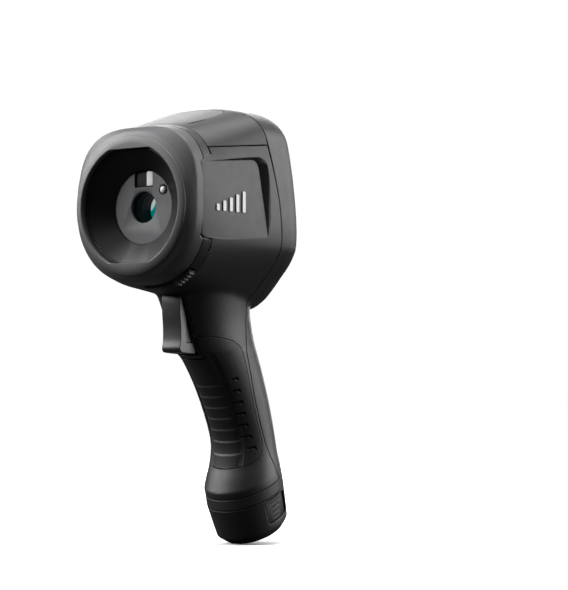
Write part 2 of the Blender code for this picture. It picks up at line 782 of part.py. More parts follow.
def foot_ring(grow_by, u):
    """The foot's outline at height u."""
    v = between([(a, b) for a, b, _, _ in FOOT], u)
    half = between([(a, c) for a, _, c, _ in FOOT], u)
    depth = between([(a, d) for a, _, _, d in FOOT], u)
    return [foot(x, v + t, u) for x, t in oval(half + grow_by, depth + grow_by, 2.1, 40)]


def foot_parts():
    collar = loft(
        "base_collar", [foot_ring(0, u) for u in (LOWER_SEAM + GAP, UPPER_SEAM - GAP)], "housing"
    )
    way = slab("cell_way_cutter", oval(14.5, 11.9, 2.2, 32, (0, CELL_V)), 15, 40, foot)
    cut(collar, way)
    cap = loft("battery_cap", [foot_ring(0, u) for u in (LOWER_SEAM, 14, 4.5, 0)], "housing")
    cup = loft("cap_cup_cutter", [foot_ring(-2.8, LOWER_SEAM + 3), foot_ring(-2.8, 14), foot_ring(-3.2, 5.2)])
    cut(cap, cup)
    slab("battery_cell", oval(13.8, 10.4, 2.2, 32, (0, CELL_V + 0.3)), 13.5, 78.4, foot, "cell")
    for name, sign in (("latch_left", -1), ("latch_right", 1)):
        window = block(f"{name}_window", (sign * 14, -8.4, 8.2), (sign * 30, 11.4, 21.8), foot)
        cut(cap, window)
        latch = block(name, (sign * 16.2, -8.0, 8.6), (sign * 22.6, 11.0, 21.4), foot, "rubber")
        keep(latch, loft(f"{name}_form", [foot_ring(0.5, 26), foot_ring(0.5, 14), foot_ring(0.5, 4.5)]))
        turned(
            f"{name}_spring", [(1.7, sign * 14.2), (2.5, sign * 14.2), (2.5, sign * 15.9), (1.7, sign * 15.9)],
            lambda v, u, x: foot(x, v, u), "metal", (1.5, 15.0), True, 12,
        )


def main():
    for old in list(bpy.data.objects):
        bpy.data.objects.remove(old)
    outer, hollow = forms()
    front_parts(outer)
    plate_parts()
    cover_parts()
    carrier()
    top = housing_parts(outer, hollow)
    port_parts(top, outer)
    window = rear_parts(outer, hollow)
    keypad_parts(window)
    trigger_parts()
    inner_parts()
    foot_parts()


main()
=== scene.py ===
import math

import bpy
import numpy as np
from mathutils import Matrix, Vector, geometry
from mathutils.bvhtree import BVHTree


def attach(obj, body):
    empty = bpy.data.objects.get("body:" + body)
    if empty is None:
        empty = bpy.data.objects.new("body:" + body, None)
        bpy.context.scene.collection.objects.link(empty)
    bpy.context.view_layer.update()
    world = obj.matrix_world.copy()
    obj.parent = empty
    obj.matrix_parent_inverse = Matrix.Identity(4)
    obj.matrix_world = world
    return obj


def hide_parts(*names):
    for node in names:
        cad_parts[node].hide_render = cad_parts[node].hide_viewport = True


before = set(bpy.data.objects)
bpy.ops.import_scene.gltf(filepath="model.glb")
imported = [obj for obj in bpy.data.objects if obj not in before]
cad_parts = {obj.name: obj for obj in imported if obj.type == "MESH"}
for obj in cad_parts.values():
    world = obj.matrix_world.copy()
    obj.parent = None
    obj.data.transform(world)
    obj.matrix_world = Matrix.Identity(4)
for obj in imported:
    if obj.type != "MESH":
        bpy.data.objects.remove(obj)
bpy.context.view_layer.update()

# Places are in millimetres: x to the side, y from the front ring rearwards, z up from the foot
mm = 0.001
midY = 66.75
axisZ = 189.5
displayTilt = math.radians(10)
displayMiddle = (90.45, 200.3)
footTilt = math.radians(23.5)
footMiddle = (114.9, 7.0)
seamGap = 0.62


def bodyPoint(x, y, z):
    return Vector((x, y - midY, z)) * mm


def frontPoint(x, z, y):
    return bodyPoint(x, y, axisZ + z)


def sidePoint(y, z, x):
    return bodyPoint(x, y, z)


def displayPoint(x, w, n):
    s, c = math.sin(displayTilt), math.cos(displayTilt)
    return bodyPoint(x, displayMiddle[0] - w * s + n * c, displayMiddle[1] + w * c + n * s)


def footPoint(x, v, u):
    s, c = math.sin(footTilt), math.cos(footTilt)
    return bodyPoint(x, footMiddle[0] + v * c - u * s, footMiddle[1] + v * s + u * c)


def footSide(v, u, x):
    return footPoint(x, v, u)


def pick(obj):
    bpy.ops.object.select_all(action="DESELECT")
    obj.select_set(True)
    bpy.context.view_layer.objects.active = obj


def applied(obj, kind, **values):
    pick(obj)
    step = obj.modifiers.new(kind.lower(), kind)
    for key, value in values.items():
        setattr(step, key, value)
    bpy.ops.object.modifier_apply(modifier=step.name)
    return obj


def combine(obj, other, operation, solver="MANIFOLD", spare=False):
    applied(obj, "BOOLEAN", operation=operation, object=other, solver=solver)
    if not spare:
        bpy.data.objects.remove(other)
    return obj


def carve(obj, *cutters):
    for cutter in cutters:
        combine(obj, cutter, "DIFFERENCE")
    return obj


def meshObject(name, points, faces):
    mesh = bpy.data.meshes.new(name)
    mesh.from_pydata([tuple(p) for p in points], [], faces)
    mesh.update()
    obj = bpy.data.objects.new(name, mesh)
    bpy.context.scene.collection.objects.link(obj)
    return obj


def outward(obj):
    pick(obj)
    bpy.ops.object.mode_set(mode="EDIT")
    bpy.ops.mesh.select_all(action="SELECT")
    bpy.ops.mesh.remove_doubles(threshold=0.000005)
    bpy.ops.mesh.normals_make_consistent(inside=False)
    bpy.ops.object.mode_set(mode="OBJECT")
    return obj


def skin(name, rings, closed=False):
    # rings of points joined into a tube, capped unless it closes on itself
    count, size = len(rings), len(rings[0])
    points = [p for ring in rings for p in ring]
    faces = []
    for r in range(count if closed else count - 1):
        a, b = r * size, ((r + 1) % count) * size
        for i in range(size):
            j = (i + 1) % size
            faces.append((a + i, a + j, b + j, b + i))
    if not closed:
        faces += [tuple(range(size)), tuple(range((count - 1) * size, count * size))]
    return outward(meshObject(name, points, faces))


def prism(name, outline, low, high, place):
    return skin(name, [[place(a, b, h) for a, b in outline] for h in (low, high)])


def plate(name, outline, low, high, place, edge=0.4, segments=3):
    # an outline drawn flat, extruded, and its edges rounded over
    obj = meshObject(name, [place(a, b, low) for a, b in outline], [tuple(range(len(outline)))])
    pick(obj)
    bpy.ops.object.mode_set(mode="EDIT")
    bpy.ops.mesh.select_all(action="SELECT")
    rise = place(0, 0, high) - place(0, 0, low)
    bpy.ops.mesh.extrude_region_move(TRANSFORM_OT_translate={"value": tuple(rise)})
    bpy.ops.mesh.select_all(action="SELECT")
    bpy.ops.mesh.normals_make_consistent(inside=False)
    bpy.ops.object.mode_set(mode="OBJECT")
    if edge:
        soften(obj, edge, segments)
    return obj


def soften(obj, width, segments=3, angle=32):
    return applied(
        obj, "BEVEL", width=width * mm, segments=segments, limit_method="ANGLE",
        angle_limit=math.radians(angle), harden_normals=False,
    )


def turned(name, profile, centre=(0.0, 0.0), place=frontPoint, steps=96, closed=False, flat=None):
    rings = []
    for radius, height in profile:
        ring = []
        for i in range(steps):
            turn = 2 * math.pi * i / steps
            a, b = radius * math.cos(turn), radius * math.sin(turn)
            if flat:
                b = max(-flat, min(flat, b))
            ring.append(place(centre[0] + a, centre[1] + b, height))
        rings.append(ring)
    return skin(name, rings, closed)


def oval(halfA, halfB, power=2.0, steps=64, centre=(0.0, 0.0)):
    points = []
    for i in range(steps):
        turn = 2 * math.pi * i / steps
        c, s = math.cos(turn), math.sin(turn)
        a = halfA * math.copysign(abs(c) ** (2 / power), c)
        b = halfB * math.copysign(abs(s) ** (2 / power), s)
        points.append((centre[0] + a, centre[1] + b))
    return points


def roundCorners(points, radius, steps=6):
    # every corner of a closed outline replaced with an arc; radius is one number or one for each corner
    radii = radius if hasattr(radius, "__len__") else [radius] * len(points)
    result = []
    for i, corner in enumerate(points):
        here = Vector(corner)
        before, after = Vector(points[i - 1]), Vector(points[(i + 1) % len(points)])
        a, b = (before - here), (after - here)
        reach = min(radii[i], a.length * 0.49, b.length * 0.49)
        start, end = here + a.normalized() * reach, here + b.normalized() * reach
        for k in range(steps + 1):
            t = k / steps
            point = start * (1 - t) ** 2 + here * (2 * t * (1 - t)) + end * t**2
            result.append((point.x, point.y))
    return result


def roundedBox(halfA, halfB, radius, centre=(0.0, 0.0), steps=8):
    corners = [(1, 1), (-1, 1), (-1, -1), (1, -1)]
    points = []
    for quarter, (sa, sb) in enumerate(corners):
        for i in range(steps + 1):
            turn = math.pi / 2 * (quarter + i / steps)
            a = sa * (halfA - radius) + radius * math.cos(turn)
            b = sb * (halfB - radius) + radius * math.sin(turn)
            points.append((centre[0] + a, centre[1] + b))
    return points


def sector(inner, outer, start, end, steps=24):
    turns = [math.radians(start + (end - start) * i / steps) for i in range(steps + 1)]
    out = [(outer * math.cos(t), outer * math.sin(t)) for t in turns]
    return out + [(inner * math.cos(t), inner * math.sin(t)) for t in reversed(turns)]


def grow(points, distance):
    area = sum(x0 * y1 - x1 * y0 for (x0, y0), (x1, y1) in zip(points, points[1:] + points[:1]))
    sign = 1 if area > 0 else -1
    moved = []
    for i, (x, y) in enumerate(points):
        (x0, y0), (x1, y1) = points[i - 1], points[(i + 1) % len(points)]
        a, b = Vector((y - y0, x0 - x)), Vector((y1 - y, x - x1))
        a = a.normalized() if a.length > 1e-9 else b.normalized()
        b = b.normalized() if b.length > 1e-9 else a
        n = (a + b).normalized()
        step = n * (sign * distance / max(n.dot(a), 0.35))
        moved.append((x + step.x, y + step.y))
    return moved


def between(table, value):
    for (high, a), (low, b) in zip(table, table[1:]):
        if value >= low:
            return b + (a - b) * (value - low) / (high - low)
    (high, a), (low, b) = table[-2:]
    return b + (a - b) * (value - low) / (high - low)


def curveThrough(points, steps=5):
    ends = [points[0]] + points + [points[-1]]
    curve = []
    for p0, p1, p2, p3 in zip(ends, ends[1:], ends[2:], ends[3:]):
        for i in range(steps):
            t = i / steps
            point = []
            for a, b, c, d in zip(p0, p1, p2, p3):
                square, cube = 2 * a - 5 * b + 4 * c - d, 3 * b - a - 3 * c + d
                point.append(0.5 * (2 * b + (c - a) * t + square * t**2 + cube * t**3))
            curve.append(tuple(point))
    return curve + [points[-1]]


def spread(points, count):
    lengths = np.concatenate([[0], np.cumsum([math.dist(a, b) for a, b in zip(points, points[1:])])])
    targets = np.linspace(0, lengths[-1], count + 1)
    table = np.array(points, float)
    return [tuple(np.interp(t, lengths, table[:, k]) for k in range(table.shape[1])) for t in targets]


def inset(points, distance):
    # a half outline moved towards the middle, its ends staying on the centre line
    moved = []
    for i, (x, z) in enumerate(points):
        (x0, z0), (x1, z1) = points[max(i - 1, 0)], points[min(i + 1, len(points) - 1)]
        length = math.hypot(x1 - x0, z1 - z0)
        dx, dz = (x1 - x0) / length, (z1 - z0) / length
        if i in (0, len(points) - 1):
            dx, dz = (1, 0) if i == 0 else (-1, 0)
        moved.append((x + dz * distance, z - dx * distance))
    return moved


def whole(half):
    return half + [(-x, z) for x, z in half[-2:0:-1]]


def coordinates(obj):
    co = np.empty(len(obj.data.vertices) * 3)
    obj.data.vertices.foreach_get("co", co)
    return co.reshape(-1, 3)


def setCoordinates(obj, co):
    obj.data.vertices.foreach_set("co", np.ascontiguousarray(co).ravel())
    obj.data.update()


def ease(value):
    value = np.clip(value, 0, 1)
    return value * value * (3 - 2 * value)


# Surface finishes


def newGroup(name, inputs, outputs):
    group = bpy.data.node_groups.new(name, "ShaderNodeTree")
    for side, sockets in (("INPUT", inputs), ("OUTPUT", outputs)):
        for label, kind in sockets:
            group.interface.new_socket(name=label, in_out=side, socket_type=f"NodeSocket{kind}")
    return group, group.nodes.new("NodeGroupInput"), group.nodes.new("NodeGroupOutput")


def noiseNode(group, scale, detail, source):
    node = group.nodes.new("ShaderNodeTexNoise")
    node.inputs["Scale"].default_value = scale
    node.inputs["Detail"].default_value = detail
    group.links.new(source, node.inputs["Vector"])
    return node


def rangeNode(group, value, low, high, newLow=0.0, newHigh=1.0):
    node = group.nodes.new("ShaderNodeMapRange")
    for label, number in (("From Min", low), ("From Max", high), ("To Min", newLow), ("To Max", newHigh)):
        node.inputs[label].default_value = number
    group.links.new(value, node.inputs["Value"])
    return node


def mathNode(group, operation, first, second):
    node = group.nodes.new("ShaderNodeMath")
    node.operation = operation
    for i, value in enumerate((first, second)):
        if isinstance(value, (int, float)):
            node.inputs[i].default_value = value
        else:
            group.links.new(value, node.inputs[i])
    return node.outputs[0]


def mixNode(group, factor, a, b, blend="MIX"):
    node = group.nodes.new("ShaderNodeMix")
    node.data_type = "RGBA"
    node.blend_type = blend
    for index, value in ((0, factor), (6, a), (7, b)):
        if hasattr(value, "is_output"):
            group.links.new(value, node.inputs[index])
        elif index == 0:
            node.inputs[index].default_value = value
        else:
            node.inputs[index].default_value = (*value, 1)
    return node.outputs[2]


def mouldedGroup():
    # fine spark-erosion grain, slow mottling, rubbed edges and uneven gloss
    group, given, made = newGroup(
        "mouldedFinish",
        [("Colour", "Color"), ("Worn Colour", "Color"), ("Grain Scale", "Float"), ("Grain Depth", "Float"),
         ("Mottle", "Float"), ("Gloss Low", "Float"), ("Gloss High", "Float"), ("Edge Radius", "Float"),
         ("Wear", "Float")],
        [("Colour", "Color"), ("Roughness", "Float"), ("Normal", "Vector")],
    )
    links = group.links
    spot = group.nodes.new("ShaderNodeTexCoord").outputs["Object"]
    fine = noiseNode(group, 2400, 2, spot)
    links.new(given.outputs["Grain Scale"], fine.inputs["Scale"])
    middle = noiseNode(group, 210, 4, spot)
    broad = noiseNode(group, 26, 3, spot)
    bevel = group.nodes.new("ShaderNodeBevel")
    bevel.samples = 4
    links.new(given.outputs["Edge Radius"], bevel.inputs["Radius"])
    bump = group.nodes.new("ShaderNodeBump")
    bump.inputs["Distance"].default_value = 0.00012
    links.new(given.outputs["Grain Depth"], bump.inputs["Strength"])
    links.new(fine.outputs[0], bump.inputs["Height"])
    links.new(bevel.outputs[0], bump.inputs["Normal"])
    links.new(bump.outputs[0], made.inputs["Normal"])
    shape = group.nodes.new("ShaderNodeNewGeometry")
    turn = group.nodes.new("ShaderNodeVectorMath")
    turn.operation = "DOT_PRODUCT"
    links.new(shape.outputs["Normal"], turn.inputs[0])
    links.new(bevel.outputs[0], turn.inputs[1])
    edge = rangeNode(group, turn.outputs["Value"], 0.985, 0.86).outputs[0]
    patchy = rangeNode(group, middle.outputs[0], 0.35, 0.7, 0.35, 1.0).outputs[0]
    worn = mathNode(group, "MULTIPLY", mathNode(group, "MULTIPLY", edge, patchy), given.outputs["Wear"])
    shade = rangeNode(group, broad.outputs[0], 0.3, 0.7, -0.5, 0.5).outputs[0]
    shade = mathNode(group, "MULTIPLY", shade, given.outputs["Mottle"])
    speck = rangeNode(group, fine.outputs[0], 0.3, 0.75, -0.12, 0.12).outputs[0]
    level = mathNode(group, "ADD", mathNode(group, "ADD", shade, speck), 1.0)
    scaled = group.nodes.new("ShaderNodeVectorMath")
    scaled.operation = "SCALE"
    links.new(given.outputs["Colour"], scaled.inputs[0])
    links.new(level, scaled.inputs["Scale"])
    links.new(mixNode(group, worn, scaled.outputs[0], given.outputs["Worn Colour"]), made.inputs["Colour"])
    gloss = rangeNode(group, middle.outputs[0], 0.3, 0.7)
    links.new(given.outputs["Gloss Low"], gloss.inputs["To Min"])
    links.new(given.outputs["Gloss High"], gloss.inputs["To Max"])
    links.new(gloss.outputs[0], made.inputs["Roughness"])
    return group


moulded = mouldedGroup()

finishes = {
    "housingPlastic": dict(colour=(0.013, 0.0135, 0.0145), worn=(0.04, 0.041, 0.043), grain=2600, depth=0.32,
                           mottle=0.08, gloss=(0.45, 0.5), edge=0.7, wear=0.6, specular=0.5),
    "bumperRubber": dict(colour=(0.058, 0.059, 0.062), worn=(0.09, 0.091, 0.094), grain=1900, depth=0.4,
                         mottle=0.08, gloss=(0.47, 0.52), edge=0.5, wear=0.4, specular=0.6),
    "gripRubber": dict(colour=(0.017, 0.0175, 0.0185), worn=(0.04, 0.041, 0.043), grain=1700, depth=0.45,
                       mottle=0.12, gloss=(0.5, 0.56), edge=0.5, wear=0.35, specular=0.4),
    "glossBlack": dict(colour=(0.006, 0.006, 0.007), worn=(0.02, 0.02, 0.022), grain=1500, depth=0.02,
                       mottle=0.1, gloss=(0.36, 0.39), edge=0.35, wear=0.3, specular=0.26),
    "satinPlate": dict(colour=(0.1, 0.102, 0.106), worn=(0.2, 0.2, 0.21), grain=3000, depth=0.2,
                       mottle=0.1, gloss=(0.5, 0.58), edge=0.25, wear=0.5, specular=0.4),
    "buttonPlastic": dict(colour=(0.033, 0.034, 0.037), worn=(0.07, 0.072, 0.076), grain=2800, depth=0.22,
                          mottle=0.1, gloss=(0.4, 0.48), edge=0.3, wear=0.5, specular=0.5),
    "triggerPlastic": dict(colour=(0.022, 0.0225, 0.024), worn=(0.05, 0.05, 0.055), grain=2600, depth=0.12,
                           mottle=0.08, gloss=(0.36, 0.4), edge=0.4, wear=0.4, specular=0.55),
    "insidePlastic": dict(colour=(0.008, 0.008, 0.009), worn=(0.015, 0.015, 0.016), grain=1800, depth=0.3,
                          mottle=0.2, gloss=(0.6, 0.7), edge=0.3, wear=0.2, specular=0.3),
    "displayGlass": dict(colour=(0.008, 0.0085, 0.0095), worn=(0.02, 0.02, 0.022), grain=900, depth=0.0,
                         mottle=0.1, gloss=(0.16, 0.2), edge=0.3, wear=0.2, specular=0.5),
    "lampDome": dict(colour=(0.9, 0.91, 0.9), worn=(0.9, 0.9, 0.9), grain=900, depth=0.03,
                     mottle=0.05, gloss=(0.16, 0.22), edge=0.2, wear=0.2, specular=0.5),
    "paleInsert": dict(colour=(0.76, 0.77, 0.78), worn=(0.6, 0.6, 0.6), grain=2000, depth=0.05,
                       mottle=0.08, gloss=(0.3, 0.4), edge=0.2, wear=0.2, specular=0.5),
    "printedMark": dict(colour=(0.74, 0.75, 0.76), worn=(0.6, 0.6, 0.6), grain=2600, depth=0.1,
                        mottle=0.05, gloss=(0.4, 0.5), edge=0.05, wear=0.0, specular=0.4),
    "steel": dict(colour=(0.44, 0.44, 0.45), worn=(0.7, 0.7, 0.71), grain=2600, depth=0.12,
                  mottle=0.1, gloss=(0.24, 0.36), edge=0.2, wear=0.6, specular=0.5, metallic=1.0),
    "sensorMetal": dict(colour=(0.3, 0.29, 0.27), worn=(0.5, 0.49, 0.47), grain=2200, depth=0.1,
                        mottle=0.1, gloss=(0.3, 0.42), edge=0.2, wear=0.5, specular=0.5, metallic=1.0),
    "circuitBoard": dict(colour=(0.012, 0.075, 0.03), worn=(0.3, 0.22, 0.08), grain=1400, depth=0.15,
                         mottle=0.3, gloss=(0.3, 0.45), edge=0.2, wear=0.4, specular=0.5),
    "cellWrap": dict(colour=(0.02, 0.035, 0.07), worn=(0.1, 0.11, 0.13), grain=1200, depth=0.08,
                     mottle=0.15, gloss=(0.28, 0.36), edge=0.4, wear=0.4, specular=0.5),
}


def makeFinish(name):
    look = finishes[name]
    material = bpy.data.materials.new(name)
    material.use_nodes = True
    tree = material.node_tree
    shader = tree.nodes["Principled BSDF"]
    finish = tree.nodes.new("ShaderNodeGroup")
    finish.node_tree = moulded
    values = {
        "Colour": (*look["colour"], 1), "Worn Colour": (*look["worn"], 1), "Grain Scale": look["grain"],
        "Grain Depth": look["depth"], "Mottle": look["mottle"], "Gloss Low": look["gloss"][0],
        "Gloss High": look["gloss"][1], "Edge Radius": look["edge"] * mm, "Wear": look["wear"],
    }
    for label, value in values.items():
        finish.inputs[label].default_value = value
    tree.links.new(finish.outputs["Colour"], shader.inputs["Base Color"])
    tree.links.new(finish.outputs["Roughness"], shader.inputs["Roughness"])
    tree.links.new(finish.outputs["Normal"], shader.inputs["Normal"])
    shader.inputs["Specular IOR Level"].default_value = look["specular"]
    shader.inputs["Metallic"].default_value = look.get("metallic", 0.0)
    return material


materials = {name: makeFinish(name) for name in finishes}
print("finishes ready")


def finishPiece(obj, name, body, slot, look, *nodes, angle=34):
    obj.name = name
    obj.data.name = name
    pick(obj)
    bpy.ops.object.shade_smooth_by_angle(angle=math.radians(angle))
    obj.data.materials.clear()
    obj.data.materials.append(materials[look])
    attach(obj, body)
    if nodes:
        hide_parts(*nodes)
    print(f"{name}: {len(obj.data.polygons)} faces")
    return obj


# Outer form: lens head, display shield and handle

bodyForm = {
    "voxel": 0.72,
    "headSteps": 110,
    "handleSteps": 120,
    "wall": 2.6,
    "rearOutline": [
        (0, 248.5), (13, 248.1), (25.5, 246.3), (33.1, 244.3), (39.2, 241.2), (43.8, 237), (46.8, 231.9),
        (48.2, 225), (49, 207), (48.4, 184.3), (46.5, 170.5), (43.8, 164.5), (39.2, 158.4), (33.1, 152.3),
        (27, 146.2), (20, 140.2), (11, 135.5), (0, 134),
    ],
    "seam": [(248.5, 60), (227.5, 63), (194.5, 73.6), (172.5, 78.5), (133.5, 83), (110.5, 83.5), (82.5, 92),
             (57.5, 101.5), (40, 110), (28, 116)],
    "rim": [(248.5, 82), (228.5, 85), (194.5, 91.4), (171.5, 95.5), (151.5, 99), (134, 102)],
    "rimRound": [(0.0, 9.0), (0.1, 5.2), (0.4, 3.2), (1.0, 1.6), (2.0, 0.5), (3.2, 0.1), (4.8, 0.0)],
    "front": [(0.0, 35.0, 35.0, 35.0, 2.0, 2.0), (0.5, 37.2, 37.3, 37.1, 2.0, 2.0),
              (1.4, 38.9, 39.2, 38.7, 2.05, 2.0), (3.4, 40.3, 41.1, 39.7, 2.3, 2.15),
              (7.0, 42.0, 43.6, 41.6, 3.0, 2.3), (20.0, 44.0, 45.6, 44.6, 3.0, 2.5)],
    "handle": [(38, 152, 88, 160, 27, 2.4), (38, 143, 95, 148, 22.5, 2.4), (43.5, 126, 99.5, 133, 19.2, 2.3),
               (50, 111, 104, 119.5, 18.4, 2.2), (58, 105, 106.5, 112, 18.4, 2.2),
               (70.5, 89.2, 110.5, 101, 18.4, 2.2), (81.6, 70.3, 116.5, 83, 18.4, 2.2),
               (86.5, 57.5, 121.3, 66, 18.8, 2.1), (86.3, 46, 123.2, 57, 19.6, 2.1),
               (83.9, 37.2, 124.4, 53.0, 20.8, 2.1), (81.7, 29.4, 126.0, 48.4, 21.8, 2.1)],
    "foot": [(30.1, 2.3, 22, 23.9), (23.5, 1.3, 21.8, 24.3), (4.5, 0.2, 20.3, 22), (0, 0, 16.5, 17.55)],
    "neck": {"behind": 9, "fade": 8, "low": 116, "high": 180, "blend": 14, "rounds": 70, "restRounds": 4},
}
rearOutline = curveThrough(bodyForm["rearOutline"], 6)


def frontHalf(half, up, down, squareUp, squareDown):
    # right half of a head section, from the top round to the bottom
    points = []
    for i in range(181):
        turn = math.pi / 2 - math.pi * i / 180
        power, height = (squareUp, up) if turn >= 0 else (squareDown, down)
        c, s = max(math.cos(turn), 0.0), math.sin(turn)
        points.append((half * c ** (2 / power), axisZ + math.copysign(height * abs(s) ** (2 / power), s)))
    return points


def headForm(name, wall=0.0):
    steps = bodyForm["headSteps"] if not wall else 40
    rings = [[(x, y, z) for x, z in spread(frontHalf(*row), steps)] for y, *row in bodyForm["front"]]
    shield = spread(rearOutline, steps)
    seam = [(x, between(bodyForm["seam"], z), z) for x, z in inset(shield, 0.4 + wall)]
    if wall:
        last = [(x, 22.0, z) for x, z in inset([(x, z) for x, y, z in rings[-1]], wall)]
        bore = spread(frontHalf(34.4, 34.4, 34.4, 2, 2), steps)
        rings = [[(x, y, z) for x, z in bore] for y in (-6.0, 18.5)] + [last]
    last = rings[-1]
    for share in (0.25, 0.5, 0.75):
        rings.append([tuple(a + (b - a) * share for a, b in zip(p, q)) for p, q in zip(last, seam)])
    rings.append(seam)
    for shrink, depth in [(wall, 11.0)] if wall else bodyForm["rimRound"]:
        rings.append([(x, between(bodyForm["rim"], z) - depth, z) for x, z in inset(shield, shrink)])
    full = [half + [(-x, y, z) for x, y, z in half[-2:0:-1]] for half in rings]
    points, faces, size = [], [], len(full[0])
    for ring in full:
        points += [bodyPoint(*p) for p in ring]
    for r in range(len(full) - 1):
        for i in range(size):
            j = (i + 1) % size
            faces.append((r * size + i, r * size + j, (r + 1) * size + j, (r + 1) * size + i))
    for ring, start in ((full[0], 0), (full[-1], (len(full) - 1) * size)):
        points.append(bodyPoint(*np.mean(ring, axis=0)))
        faces += [(start + i, start + (i + 1) % size, len(points) - 1) for i in range(size)]
    return outward(meshObject(name, points, faces))


def handleForm(name, wall=0.0, end=0.0):
    steps = bodyForm["handleSteps"] if not wall else 48
    rows = curveThrough([tuple(map(float, row)) for row in bodyForm["handle"]], 5)
    rings = []
    for y0, z0, y1, z1, half, power in rows:
        length = math.hypot(y1 - y0, z1 - z0)
        dy, dz = (y1 - y0) / length, (z1 - z0) / length
        rings.append(
            [bodyPoint(x, (y0 + y1) / 2 + t * dy, (z0 + z1) / 2 + t * dz)
             for x, t in oval(half - wall, length / 2 - wall, power, steps)]
        )
    for u, v, half, depth in bodyForm["foot"]:
        if u >= end:
            rings.append([footPoint(x, v + t, u) for x, t in oval(half - wall, depth - wall, 2.1, steps)])
    return skin(name, rings)


def joined(first, *others):
    bpy.ops.object.select_all(action="DESELECT")
    for obj in (first, *others):
        obj.select_set(True)
    bpy.context.view_layer.objects.active = first
    bpy.ops.object.join()
    return first


def outerForm():
    form = joined(headForm("outerForm"), handleForm("handleForm"))
    applied(form, "REMESH", mode="VOXEL", voxel_size=bodyForm["voxel"] * mm, use_smooth_shade=True)
    co = coordinates(form) / mm
    y, z = co[:, 1] + midY, co[:, 2]
    look = bodyForm["neck"]
    heights, depths = zip(*reversed(bodyForm["rim"]))
    away = ease((np.interp(z, heights, depths) - look["behind"] - y) / look["fade"])
    band = ease((z - look["low"]) / look["blend"]) * ease((look["high"] - z) / look["blend"])
    neck = form.vertex_groups.new(name="neck")
    weights = away * band
    for level in range(1, 11):
        chosen = np.nonzero((weights > (level - 0.5) / 10) & (weights <= (level + 0.5) / 10))[0]
        neck.add(chosen.tolist(), level / 10, "REPLACE")
    applied(form, "SMOOTH", factor=0.5, iterations=look["rounds"], vertex_group="neck")
    applied(form, "SMOOTH", factor=0.5, iterations=look["restRounds"])
    return form


form = outerForm()
skinTree = BVHTree.FromObject(form, bpy.context.evaluated_depsgraph_get())
hollow = headForm("hollow", bodyForm["wall"])
combine(hollow, handleForm("handleHollow", 3.2, end=23.5), "UNION", "EXACT")
print("outer form ready:", len(form.data.polygons))


def portion(name, zone, *cutters, shell=True):
    # the share of the outer form inside a zone, made hollow, less the cutters
    piece = form.copy()
    piece.data = form.data.copy()
    piece.name = name
    bpy.context.scene.collection.objects.link(piece)
    combine(piece, zone, "INTERSECT")
    if shell:
        combine(piece, hollow, "DIFFERENCE", spare=True)
    return carve(piece, *cutters)


def sink(piece, depthAt):
    # presses the visible skin in along its normals, on a mesh twice as fine
    pick(piece)
    bpy.ops.object.mode_set(mode="EDIT")
    bpy.ops.mesh.select_all(action="SELECT")
    bpy.ops.mesh.quads_convert_to_tris()
    bpy.ops.mesh.subdivide(number_cuts=1)
    bpy.ops.object.mode_set(mode="OBJECT")
    co = coordinates(piece)
    normals = np.empty(len(co) * 3)
    piece.data.vertices.foreach_get("normal", normals)
    depth = depthAt(co / mm)
    for i in np.nonzero(depth > 0.001)[0]:
        nearest = skinTree.find_nearest(Vector(co[i]), 0.0012)
        if nearest[0] is None or nearest[3] > 0.00012:
            depth[i] = 0.0
    setCoordinates(piece, co - normals.reshape(-1, 3) * (depth * mm)[:, None])


def acrossBody(name, outline, half=80):
    return prism(name, outline, -half, half, sidePoint)


def blockZone(name, low, high, place=bodyPoint):
    (a0, b0, c0), (a1, b1, c1) = low, high
    return prism(name, [(a0, b0), (a1, b0), (a1, b1), (a0, b1)], c0, c1, place)


# Front: rubber ring, collar, black funnel, plate and optics

frontLook = {
    "boreRadius": 33.5, "lipFlare": 1.0, "bumperEnd": 13.95, "collarStart": 14.5, "collarEnd": 20.0,
    "tongueStart": 11.8, "tongueLow": 170.8, "tongueHigh": 217.0, "funnelFlat": 30.95,
    "fold": 38.2, "foldDepth": 0.6, "boreFlat": 31.3,
}


def tongueZones(name, extra):
    look = frontLook
    low, high = look["tongueLow"] - extra, look["tongueHigh"] + extra
    return [
        blockZone(f"{name}{sign}", (sign * 40.3, look["tongueStart"] - extra, low), (sign * 60, 44, high))
        for sign in (-1, 1)
    ]


def creaseDepth(co):
    # a crisp fold where the face ring of the bumper meets its shoulder
    radius = np.hypot(co[:, 0], co[:, 2] - axisZ)
    look = frontLook
    fold = ease((radius - look["fold"]) / 0.5) * (1 - ease((radius - look["fold"] - 0.8) / 2.8))
    return look["foldDepth"] * fold * ease((8 - co[:, 1] - midY) / 3)


